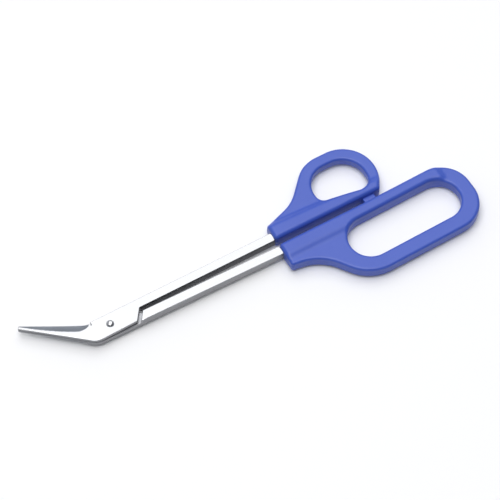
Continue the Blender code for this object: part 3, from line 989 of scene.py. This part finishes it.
@dataclass
class Handle:
    """A moulded handle: a low rim with a loop, and a raised ridge over the tang."""

    name: str
    half: SteelHalf
    rim_height: float
    sleeve_proud: float = 0.4
    sleeve_width: float = 6.5
    sleeve_corner: float = 1.5
    flank_blend: float = 20.7
    rim_round: float = 1.3
    ridge_round: float = 1.9
    ridge_rise: float = 0.9              # from the sleeve's outline in to the full height
    ridge_foot: float = 3.6              # from the sleeve's outline out to the rim
    pocket_fit: float = 0.05
    spacing: float = 0.7
    seam: float = 0.05

    def wall(self) -> float:
        """Work out where the inner wall lies, just proud of the bar.

        Returns:
            The wall's Y.
        """
        bar_length = LAYOUT.handle_front - PACKED_GAP
        y = height_at(self.half.inner(), self.half.splay, bar_length)
        return self.half.side.value * (y - self.sleeve_proud)

    def outline(self) -> Outline:
        """Return the handle's outline."""
        raise NotImplementedError

    def hole(self) -> Outline:
        """Return the outline of the loop's opening."""
        raise NotImplementedError

    def ridge_area(self) -> Points:
        """Return the sleeve's area, let out past the handle's own walls."""
        raise NotImplementedError

    def ridge(self, places: Points) -> np.ndarray:
        """Return 1 on the ridge, 0 on the rim and a smooth step between."""
        depth = depth_in(self.ridge_area(), places)
        return ease((depth + self.ridge_foot) / (self.ridge_foot + self.ridge_rise))

    def half_height(self, places: Points) -> np.ndarray:
        """Return half the handle's height at each place."""
        full = LAYOUT.handle_high - LAYOUT.handle_low
        return (self.rim_height + (full - self.rim_height) * self.ridge(places)) / 2.0

    def rounding(self, places: Points) -> np.ndarray:
        """Return the edges' rounding radius, larger along the ridge."""
        return self.rim_round + (self.ridge_round - self.rim_round) * self.ridge(places)

    def pocket(self) -> bpy.types.Object:
        """Make the shape that cuts the tang's pocket, its key's post left out.

        Returns:
            The cutting shape.
        """
        overshoot = 3.0
        corners = self.half.tang(self.pocket_fit, LAYOUT.handle_front - overshoot)
        if self.half.side is Side.FINGER:
            corners = mirrored(corners)
        post = self.half.bore_outline(self.half.key_place(),
                                      self.half.key_diameter - 2.0 * self.pocket_fit)
        return Slab(self.name + "_pocket", Outline(corners),
                    lambda places: np.full(len(places), LAYOUT.steel_high + self.pocket_fit),
                    lambda places: np.full(len(places), LAYOUT.steel_low - self.pocket_fit),
                    lambda places: np.zeros(len(places)), widest_edge=0.0, edge_steps=1,
                    holes=(post,),
                    shaped=lambda places: np.zeros(len(places), bool)).build()

    def body(self) -> bpy.types.Object:
        """Make the moulding without its pocket.

        Returns:
            The new object.
        """
        return Slab(self.name, self.outline(),
                    lambda places: LAYOUT.middle + self.half_height(places),
                    lambda places: LAYOUT.middle - self.half_height(places),
                    self.rounding, widest_edge=self.ridge_round, edge_steps=8,
                    holes=(self.hole(),),
                    spacing=self.spacing, seam=self.seam).build()

    def build(self) -> bpy.types.Object:
        """Make the handle with its pocket.

        Returns:
            The new object.
        """
        piece = self.body()
        combine(piece, self.pocket(), "DIFFERENCE")
        settle(piece, sharp=35.0)
        return piece


@dataclass
class ThumbHandle(Handle):
    """The handle with the egg-shaped thumb hole and the stop lug."""

    end_width: float = 7.8
    end_flare: float = math.radians(18.6)
    neck: float = 16.0
    flank: float = math.radians(46.8)
    loop_radius: float = 16.15
    rear: float = math.radians(58.4)
    rear_drop: float = 5.1
    rear_corner: float = 17.4
    walls: tuple[float, float, float, float] = (0.7, 5.8, 5.8, 2.1)    # front, crown, rear, inner
    hole_slope: float = math.radians(-11.75)
    hole_corners: tuple[float, float] = (4.4, 6.4)
    hole_crown: float = 11.0
    sleeve_end_width: float = 4.0
    stop_setback: float = 5.2
    stop_width: float = 6.0
    stop_height: float = 2.6
    stop_corner: float = 0.5
    stop_gap: float = 0.3

    def centre(self) -> np.ndarray:
        """Return the middle of the loop's circle."""
        return LAYOUT.thumb_loop - self.loop_radius

    def rear_foot(self) -> np.ndarray:
        """Return where the rear of the loop runs into the inner wall."""
        turn_in = (LAYOUT.thumb_loop[0], self.centre()[1] - self.rear_drop)
        return crossing(turn_in, self.rear, (0.0, self.wall()), 0.0)

    def outline(self) -> Outline:
        """Set out the handle.

        Returns:
            Its outline.
        """
        right, top = LAYOUT.thumb_loop
        front, base = LAYOUT.handle_front, self.wall()
        shoulder = (front, base + self.sleeve_proud + self.end_width)
        neck = (front + self.neck, height_at(shoulder, self.end_flare, front + self.neck))
        return Outline([(front, base, self.sleeve_corner),
                        (*self.rear_foot(), self.sleeve_corner),
                        (right, self.centre()[1] - self.rear_drop, self.rear_corner),
                        (right, top, self.loop_radius),
                        (*crossing(neck, self.flank, (0.0, top), 0.0), self.loop_radius),
                        (*neck, self.flank_blend),
                        (*shoulder, self.sleeve_corner)])

    def hole(self) -> Outline:
        """Set out the egg-shaped thumb hole.

        Returns:
            Its outline.
        """
        front, crown, rear, inner = self.walls
        cx, cy = self.centre()
        left, right = cx - self.loop_radius + front, cx + self.loop_radius - rear
        top = cy + self.loop_radius - crown
        low = (right, self.wall() + self.sleeve_proud + inner)
        return Outline([(left, height_at(low, self.hole_slope, left), self.hole_corners[0]),
                        (*low, self.hole_corners[1]),
                        (right, top, self.hole_crown), (left, top, self.hole_crown)])

    def ridge_area(self) -> Points:
        """Set out the sleeve's area, let out past the handle's own walls.

        Returns:
            The area's corners.
        """
        margin = 12.0
        front, base = LAYOUT.handle_front, self.wall()
        rear = self.rear_foot()[0]
        slope = math.atan2(self.sleeve_end_width - self.sleeve_width, rear - front)
        edge = (front, base + self.sleeve_width)
        return np.array(((front - margin, base - margin), (rear + margin, base - margin),
                         (rear + margin, height_at(edge, slope, rear + margin)),
                         (front - margin, height_at(edge, slope, front - margin))))

    def stop(self, facing: float) -> bpy.types.Object:
        """Make the lug that meets the other handle's inner wall.

        Args:
            facing: The Y of that wall.

        Returns:
            The lug, its root sunk in the wall.
        """
        left = self.centre()[0] + self.stop_setback - self.stop_width / 2.0
        right = left + self.stop_width
        end, root = facing + self.stop_gap, self.wall() + self.sleeve_corner
        corners = [(left, end, self.stop_corner), (right, end, self.stop_corner),
                   (right, root, 0.0), (left, root, 0.0)]
        return Slab("stop", Outline(corners, math.radians(10.0)),
                    lambda places: np.full(len(places), LAYOUT.middle + self.stop_height / 2.0),
                    lambda places: np.full(len(places), LAYOUT.middle - self.stop_height / 2.0),
                    lambda places: np.full(len(places), self.stop_corner),
                    widest_edge=self.stop_corner).build()

    def build_with_stop(self, facing: float) -> bpy.types.Object:
        """Make the handle with its pocket and its lug.

        Args:
            facing: The Y of the wall that the lug meets.

        Returns:
            The new object.
        """
        piece = self.body()
        combine(piece, self.stop(facing), "UNION")
        combine(piece, self.pocket(), "DIFFERENCE")
        settle(piece, sharp=35.0)
        return piece


@dataclass
class FingerHandle(Handle):
    """The handle with the long slot for three fingers."""

    end_width: float = 11.65
    end_flare: float = math.radians(-7.2)
    neck: float = 13.2
    flank: float = math.radians(-53.8)
    bend: float = 46.8
    bend_radius: float = 60.0
    tilt: float = math.radians(1.3)
    length: float = 91.8
    depth: float = 33.1
    rear_corners: tuple[float, float] = (15.4, 13.9)
    front_corner: float = 20.2
    slot_front: float = 27.6
    walls: tuple[float, float, float] = (7.4, 5.5, 7.45)    # rear, inner, outer
    slot_corner: float = 10.1
    sleeve_end_width: float = 6.3
    sleeve_setback: float = 10.8

    def loop(self) -> tuple[np.ndarray, np.ndarray, np.ndarray]:
        """Work out the lines that the loop is drawn from.

        Returns:
            The bend of the inner wall, a point on the floor and the middle of
            the rear end.
        """
        bend = np.array((LAYOUT.handle_front + self.bend, self.wall()))
        floor = bend - left_of(direction(self.tilt)) * (self.depth + self.sleeve_proud)
        rear = np.array((LAYOUT.handle_front + self.length, (bend[1] + floor[1]) / 2.0))
        return bend, floor, rear

    def outline(self) -> Outline:
        """Set out the handle.

        Returns:
            Its outline.
        """
        bend, floor, rear = self.loop()
        upright = self.tilt + math.pi / 2.0
        front = LAYOUT.handle_front
        shoulder = (front, bend[1] - self.sleeve_proud - self.end_width)
        neck = (front + self.neck, height_at(shoulder, self.end_flare, front + self.neck))
        return Outline([(front, bend[1], self.sleeve_corner),
                        (*shoulder, self.sleeve_corner),
                        (*neck, self.flank_blend),
                        (*crossing(neck, self.flank, floor, self.tilt), self.front_corner),
                        (*crossing(rear, upright, floor, self.tilt), self.rear_corners[0]),
                        (*crossing(rear, upright, bend, self.tilt), self.rear_corners[1]),
                        (*bend, self.bend_radius)])

    def hole(self) -> Outline:
        """Set out the finger slot.

        Returns:
            Its outline.
        """
        bend, floor, rear = self.loop()
        rear_wall, inner, outer = self.walls
        up = left_of(direction(self.tilt))
        upright = self.tilt + math.pi / 2.0
        low, high = floor + up * outer, bend - up * (inner + self.sleeve_proud)
        front = (LAYOUT.handle_front + self.slot_front, rear[1])
        back = rear - direction(self.tilt) * rear_wall
        return Outline([(*crossing(end, upright, side, self.tilt), self.slot_corner)
                        for end, side in ((front, low), (back, low), (back, high), (front, high))])

    def ridge_area(self) -> Points:
        """Set out the sleeve's area, let out past the handle's own walls.

        Returns:
            The area's corners.
        """
        margin = 12.0
        bend, _, rear = self.loop()
        front = LAYOUT.handle_front
        end = rear[0] - self.sleeve_setback
        low = height_at(bend, self.tilt, end) - self.sleeve_end_width
        waist = front + self.slot_front + self.slot_corner
        waist_y = height_at((end, low), self.tilt, waist)
        slope = math.atan2(waist_y - bend[1] + self.sleeve_width, waist - front)
        edge = (front, bend[1] - self.sleeve_width)
        return np.array(((front - margin, bend[1] + margin),
                         (front - margin, height_at(edge, slope, front - margin)),
                         (waist, waist_y), (end, low), (end, bend[1] + margin)))


# ---------------------------------------------------------------- materials

def linear(shade: str) -> tuple[float, float, float, float]:
    """Return an sRGB hex colour as linear RGBA."""
    parts = [int(shade[i:i + 2], 16) / 255.0 for i in (1, 3, 5)]
    return (*(c / 12.92 if c <= 0.04045 else ((c + 0.055) / 1.055) ** 2.4 for c in parts), 1.0)


def add_node(tree: bpy.types.NodeTree, kind: str,
             inputs: dict[str | int, object] | None = None, **settings: object) -> bpy.types.Node:
    """Add one node.

    Args:
        tree: The node tree.
        kind: The node's type.
        inputs: A value, or another node's output, for each input socket.
        settings: Values for the node's own options.

    Returns:
        The new node.
    """
    node = tree.nodes.new(kind)
    for name, value in settings.items():
        setattr(node, name, value)
    for socket, value in (inputs or {}).items():
        if isinstance(value, bpy.types.NodeSocket):
            tree.links.new(value, node.inputs[socket])
        else:
            node.inputs[socket].default_value = value
    return node


def new_material(name: str) -> tuple[bpy.types.Material, bpy.types.NodeTree]:
    """Start a material.

    Args:
        name: The material's name.

    Returns:
        The material and its empty node tree.
    """
    material = bpy.data.materials.new(name)
    material.use_nodes = True
    material.node_tree.nodes.clear()
    return material, material.node_tree


def per_metre(size: float) -> float:
    """Return the texture scale whose features measure a size in mm."""
    return 1.0 / (size * MM)


@dataclass(frozen=True)
class MouldedPlastic:
    """Injection-moulded ABS from a lightly spark-eroded mould.

    To the eye: an even, saturated colour with a satin sheen that is broken up
    by a very fine grain, and faint cloudy bands where the melt flowed.
    """

    shade: str = "#3E5ABA"
    flow_shade: str = "#3551B4"
    flow_size: float = 16.0
    grain_size: float = 0.45             # eroded grain is nearer 0.1 mm, too fine to show
    grain_height: float = 0.012
    ior: float = 1.53
    roughness: tuple[float, float] = (0.30, 0.42)

    def material(self, name: str) -> bpy.types.Material:
        """Make the finish as a material.

        Args:
            name: The material's name.

        Returns:
            The material.
        """
        material, tree = new_material(name)
        place = add_node(tree, "ShaderNodeTexCoord").outputs["Object"]
        flow = add_node(tree, "ShaderNodeTexNoise",
                        {"Vector": place, "Scale": per_metre(self.flow_size), "Detail": 3.0,
                         "Roughness": 0.5, "Distortion": 0.6})
        tint = add_node(tree, "ShaderNodeMix",
                        {"Factor": flow.outputs["Fac"], "A": linear(self.shade),
                         "B": linear(self.flow_shade)}, data_type="RGBA")
        grain = add_node(tree, "ShaderNodeTexNoise",
                         {"Vector": place, "Scale": per_metre(self.grain_size), "Detail": 4.0,
                          "Roughness": 0.6})
        sheen = add_node(tree, "ShaderNodeMapRange",
                         {"Value": grain.outputs["Fac"], "From Min": 0.3, "From Max": 0.7,
                          "To Min": self.roughness[0], "To Max": self.roughness[1]})
        bump = add_node(tree, "ShaderNodeBump",
                        {"Height": grain.outputs["Fac"], "Strength": 0.35,
                         "Distance": self.grain_height * MM})
        shader = add_node(tree, "ShaderNodeBsdfPrincipled",
                          {"Base Color": tint.outputs["Result"],
                           "Roughness": sheen.outputs["Result"],
                           "Normal": bump.outputs["Normal"], "IOR": self.ior})
        add_node(tree, "ShaderNodeOutputMaterial", {"Surface": shader.outputs["BSDF"]})
        return material


@dataclass(frozen=True)
class Steel:
    """Stainless steel whose surface is lined by the last wheel or belt.

    To the eye: a bright metal with fine parallel lines that stretch its
    reflections, and slightly duller patches from handling.
    """

    shade: str
    worn_shade: str
    roughness: tuple[float, float]
    line_width: float                    # mm across the lines
    line_length: float                   # mm along them
    line_angle: float                    # in the plan
    line_height: float
    patch_size: float = 9.0

    def material(self, name: str) -> bpy.types.Material:
        """Make the finish as a material.

        Args:
            name: The material's name.

        Returns:
            The material.
        """
        material, tree = new_material(name)
        place = add_node(tree, "ShaderNodeTexCoord").outputs["Object"]
        turned_place = add_node(tree, "ShaderNodeVectorRotate",
                                {"Vector": place, "Angle": -self.line_angle},
                                rotation_type="Z_AXIS")
        across = per_metre(self.line_width)
        stretched = add_node(tree, "ShaderNodeVectorMath",
                             {0: turned_place.outputs["Vector"],
                              1: (per_metre(self.line_length), across, across)},
                             operation="MULTIPLY")
        lines = add_node(tree, "ShaderNodeTexNoise",
                         {"Vector": stretched.outputs["Vector"], "Scale": 1.0, "Detail": 3.0,
                          "Roughness": 0.65})
        patches = add_node(tree, "ShaderNodeTexNoise",
                           {"Vector": place, "Scale": per_metre(self.patch_size), "Detail": 2.0})
        mixed = add_node(tree, "ShaderNodeMath",
                         {0: lines.outputs["Fac"], 1: patches.outputs["Fac"]}, operation="ADD")
        dull = add_node(tree, "ShaderNodeMapRange",
                        {"Value": mixed.outputs["Value"], "From Min": 0.7, "From Max": 1.3,
                         "To Min": self.roughness[0], "To Max": self.roughness[1]})
        tint = add_node(tree, "ShaderNodeMix",
                        {"Factor": lines.outputs["Fac"], "A": linear(self.shade),
                         "B": linear(self.worn_shade)}, data_type="RGBA")
        bump = add_node(tree, "ShaderNodeBump",
                        {"Height": lines.outputs["Fac"], "Strength": 0.3,
                         "Distance": self.line_height * MM})
        shader = add_node(tree, "ShaderNodeBsdfPrincipled",
                          {"Base Color": tint.outputs["Result"], "Metallic": 1.0,
                           "Roughness": dull.outputs["Result"],
                           "Normal": bump.outputs["Normal"]})
        add_node(tree, "ShaderNodeOutputMaterial", {"Surface": shader.outputs["BSDF"]})
        return material


# Belt-polished flats: near mirrors with long, faint lines along the strip.
POLISHED_STRIP = Steel(shade="#C2C3C5", worn_shade="#B4B5B8", roughness=(0.10, 0.22),
                       line_width=0.18, line_length=14.0, line_angle=0.0, line_height=0.004)

# Bevels off a coarse wheel: a bluer, duller grey, with short lines across the edge.
GROUND_BEVEL = Steel(shade="#A7ACB4", worn_shade="#8F959F", roughness=(0.30, 0.42),
                     line_width=0.22, line_length=5.0,
                     line_angle=math.radians(54.6), line_height=0.012)

# Outer sides and lap faces: a satin grey, darker than the flats as painted shade of these upright and
# recessed faces.
SHADED_MILLED_SIDES = Steel(shade="#9A9B9E", worn_shade="#86878B", roughness=(0.28, 0.42),
                     line_width=0.25, line_length=8.0, line_angle=0.0, line_height=0.008)

# Inner sides, facing the other half: a dark grey with a slight shine; the darkness is painted shade
# of the narrow gap between the bars.
SHADED_INNER_SIDES = Steel(shade="#5E5F63", worn_shade="#4C4D51", roughness=(0.22, 0.34),
                      line_width=0.3, line_length=6.0, line_angle=0.0, line_height=0.01)


@dataclass(frozen=True)
class TurnedSteel:
    """Steel spun against a tool: a rivet's formed head or a stamped washer.

    To the eye: bright, with faint rings round its middle.
    """

    shade: str
    roughness: tuple[float, float]
    ring_width: float = 0.12
    ring_height: float = 0.003

    def material(self, name: str) -> bpy.types.Material:
        """Make the finish as a material.

        Args:
            name: The material's name.

        Returns:
            The material.
        """
        material, tree = new_material(name)
        place = add_node(tree, "ShaderNodeTexCoord").outputs["Object"]
        offset = add_node(tree, "ShaderNodeVectorMath",
                          {0: place, 1: tuple(LAYOUT.pivot)}, operation="SUBTRACT")
        flat = add_node(tree, "ShaderNodeVectorMath",
                        {0: offset.outputs["Vector"], 1: (1.0, 1.0, 0.0)}, operation="MULTIPLY")
        radius = add_node(tree, "ShaderNodeVectorMath", {0: flat.outputs["Vector"]},
                          operation="LENGTH")
        rings = add_node(tree, "ShaderNodeTexNoise",
                         {"W": radius.outputs["Value"], "Scale": per_metre(self.ring_width),
                          "Detail": 2.0}, noise_dimensions="1D")
        dull = add_node(tree, "ShaderNodeMapRange",
                        {"Value": rings.outputs["Fac"], "From Min": 0.3, "From Max": 0.7,
                         "To Min": self.roughness[0], "To Max": self.roughness[1]})
        bump = add_node(tree, "ShaderNodeBump",
                        {"Height": rings.outputs["Fac"], "Strength": 0.3,
                         "Distance": self.ring_height * MM})
        shader = add_node(tree, "ShaderNodeBsdfPrincipled",
                          {"Base Color": linear(self.shade), "Metallic": 1.0,
                           "Roughness": dull.outputs["Result"],
                           "Normal": bump.outputs["Normal"]})
        add_node(tree, "ShaderNodeOutputMaterial", {"Surface": shader.outputs["BSDF"]})
        return material


# ---------------------------------------------------------------- studio

@dataclass(frozen=True)
class SoftLight:
    """A large soft light that looks at the scissors."""

    name: str
    place: tuple[float, float, float]    # metres
    size: tuple[float, float]
    power: float

    def add(self) -> None:
        """Add the light."""
        data = bpy.data.lights.new(self.name, "AREA")
        data.shape = "RECTANGLE"
        data.size, data.size_y = self.size
        data.energy = self.power
        light = bpy.data.objects.new(self.name, data)
        light.location = self.place
        light.rotation_mode = "QUATERNION"
        light.rotation_quaternion = Vector(self.place).to_track_quat("Z", "Y")
        bpy.context.collection.objects.link(light)


@dataclass(frozen=True)
class Studio:
    """The plain floor, the lights and the camera."""

    floor_radius: float = 3.0
    floor_shade: str = "#F4F4F5"
    sky_shade: str = "#EEF0F4"           # on the far side
    near_shade: str = "#54565C"          # behind the camera
    sky_strength: float = 0.62
    lights: tuple[SoftLight, ...] = (
        SoftLight("far_softbox", (0.37, 0.65, 1.3), (1.3, 1.0), 6.4),
        SoftLight("top_softbox", (-0.2, -0.1, 1.5), (1.2, 1.2), 17.0),
    )
    lens: float = 145.17
    target: tuple[float, float, float] = (0.003210, 0.008371, 0.0)
    distance: float = 0.9
    elevation: float = math.radians(60.0)
    turn: float = math.radians(-29.668)  # of the camera round the scissors

    def floor(self) -> None:
        """Add the round matt floor under the scissors."""
        bm = bmesh.new()
        bmesh.ops.create_circle(bm, cap_ends=True, radius=self.floor_radius, segments=96)
        mesh = bpy.data.meshes.new("floor")
        bm.to_mesh(mesh)
        bm.free()
        floor = bpy.data.objects.new("floor", mesh)
        bpy.context.collection.objects.link(floor)
        material, tree = new_material("matt_white_paper")
        place = add_node(tree, "ShaderNodeTexCoord").outputs["Object"]
        fibre = add_node(tree, "ShaderNodeTexNoise", {"Vector": place, "Scale": per_metre(1.5)})
        bump = add_node(tree, "ShaderNodeBump",
                        {"Height": fibre.outputs["Fac"], "Strength": 0.1, "Distance": 0.02 * MM})
        shader = add_node(tree, "ShaderNodeBsdfPrincipled",
                          {"Base Color": linear(self.floor_shade), "Roughness": 0.9,
                           "Normal": bump.outputs["Normal"]})
        add_node(tree, "ShaderNodeOutputMaterial", {"Surface": shader.outputs["BSDF"]})
        mesh.materials.append(material)
        floor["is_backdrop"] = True

    def sky(self) -> None:
        """Surround the scene with an even pale light."""
        world = bpy.data.worlds.new("studio")
        world.use_nodes = True
        world.node_tree.nodes.clear()
        way = add_node(world.node_tree, "ShaderNodeTexCoord").outputs["Generated"]
        parts = add_node(world.node_tree, "ShaderNodeSeparateXYZ", {"Vector": way})
        share = add_node(world.node_tree, "ShaderNodeMapRange",
                         {"Value": parts.outputs["Y"], "From Min": -1.0, "From Max": 1.0})
        shade = add_node(world.node_tree, "ShaderNodeMix",
                         {"Factor": share.outputs["Result"], "A": linear(self.near_shade),
                          "B": linear(self.sky_shade)}, data_type="RGBA")
        glow = add_node(world.node_tree, "ShaderNodeBackground",
                        {"Color": shade.outputs["Result"], "Strength": self.sky_strength})
        add_node(world.node_tree, "ShaderNodeOutputWorld", {"Surface": glow.outputs["Background"]})
        bpy.context.scene.world = world

    def camera(self) -> None:
        """Add the camera, which sees the bars rise to the right."""
        data = bpy.data.cameras.new("camera")
        data.lens = self.lens
        camera = bpy.data.objects.new("camera", data)
        level = math.cos(self.elevation)
        back = Vector((math.sin(self.turn) * level, -math.cos(self.turn) * level,
                       math.sin(self.elevation)))
        camera.location = Vector(self.target) + back * self.distance
        camera.rotation_mode = "QUATERNION"
        camera.rotation_quaternion = (-back).to_track_quat("-Z", "Y")
        bpy.context.collection.objects.link(camera)
        bpy.context.scene.camera = camera

    def build(self) -> None:
        """Set up the whole studio."""
        self.floor()
        self.sky()
        for light in self.lights:
            light.add()
        self.camera()
        bpy.context.scene.view_settings.view_transform = "Standard"


# ---------------------------------------------------------------- assembly

def dress(piece: bpy.types.Object, body: str, node: str, slot: str,
          *materials: bpy.types.Material) -> None:
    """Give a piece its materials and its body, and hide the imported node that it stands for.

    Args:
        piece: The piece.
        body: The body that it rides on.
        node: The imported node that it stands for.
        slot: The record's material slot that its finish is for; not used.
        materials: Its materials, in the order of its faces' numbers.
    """
    for material in materials:
        piece.data.materials.append(material)
    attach(piece, body)
    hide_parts(node)
    log.info("%s: %d faces, rides on %s", piece.name, len(piece.data.polygons), body)


def build_scissors() -> None:
    """Build every piece of the scissors on its body."""
    strip_steel = POLISHED_STRIP.material("polished_stainless_strip")
    bevel_steel = GROUND_BEVEL.material("wheel_ground_bevel")
    rivet_steel = TurnedSteel("#D2D3D6", (0.12, 0.24)).material("formed_rivet_steel")
    washer_steel = TurnedSteel("#C4C5C8", (0.25, 0.38)).material("stamped_washer_steel")
    # The sides' steel is darker than the flats to paint their shade.
    shaded_side_steel = SHADED_MILLED_SIDES.material("milled_sides_painted_shade")
    # The inner sides' steel is dark to paint the shade in the gap between the bars.
    inner_shade_steel = SHADED_INNER_SIDES.material("stainless_inner_sides_painted_shade")
    plastic = MouldedPlastic().material("moulded_blue_abs")

    steels = (strip_steel, bevel_steel, shaded_side_steel, inner_shade_steel)     # in Finish order
    thumb_blade = SteelHalf("thumb_half_steel", Side.THUMB, math.radians(0.1), 30.0)
    finger_blade = SteelHalf("finger_half_steel", Side.FINGER, math.radians(1.25), 25.0)
    dress(thumb_blade.build(), "thumb_half", "thumb_blade", "blade_steel", *steels)
    dress(finger_blade.build(), "finger_half", "finger_blade", "blade_steel", *steels)

    pivot = PivotRivet()
    dress(pivot.rivet(), "finger_half", "pivot_rivet", "rivet_steel", rivet_steel)
    dress(pivot.ring(), "finger_half", "pivot_washer", "rivet_steel", washer_steel)

    finger = FingerHandle("finger_grip", finger_blade, rim_height=6.2)
    thumb = ThumbHandle("thumb_grip", thumb_blade, rim_height=5.2)
    dress(thumb.build_with_stop(finger.wall()), "thumb_half", "thumb_handle",
          "handle_plastic", plastic)
    dress(finger.build(), "finger_half", "finger_handle", "handle_plastic", plastic)


def main() -> None:
    """Build the studio and the scissors."""
    logging.basicConfig(level=logging.INFO, format="%(name)s: %(message)s")
    cad_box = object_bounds()
    Studio().build()
    build_scissors()
    seen_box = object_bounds()
    for name, box in (("cad", cad_box), ("visual", seen_box)):
        log.info("%s box: %s mm", name, [round(v / MM, 2) for v in box[1] - box[0]])


if __name__ == "__main__":
    main()
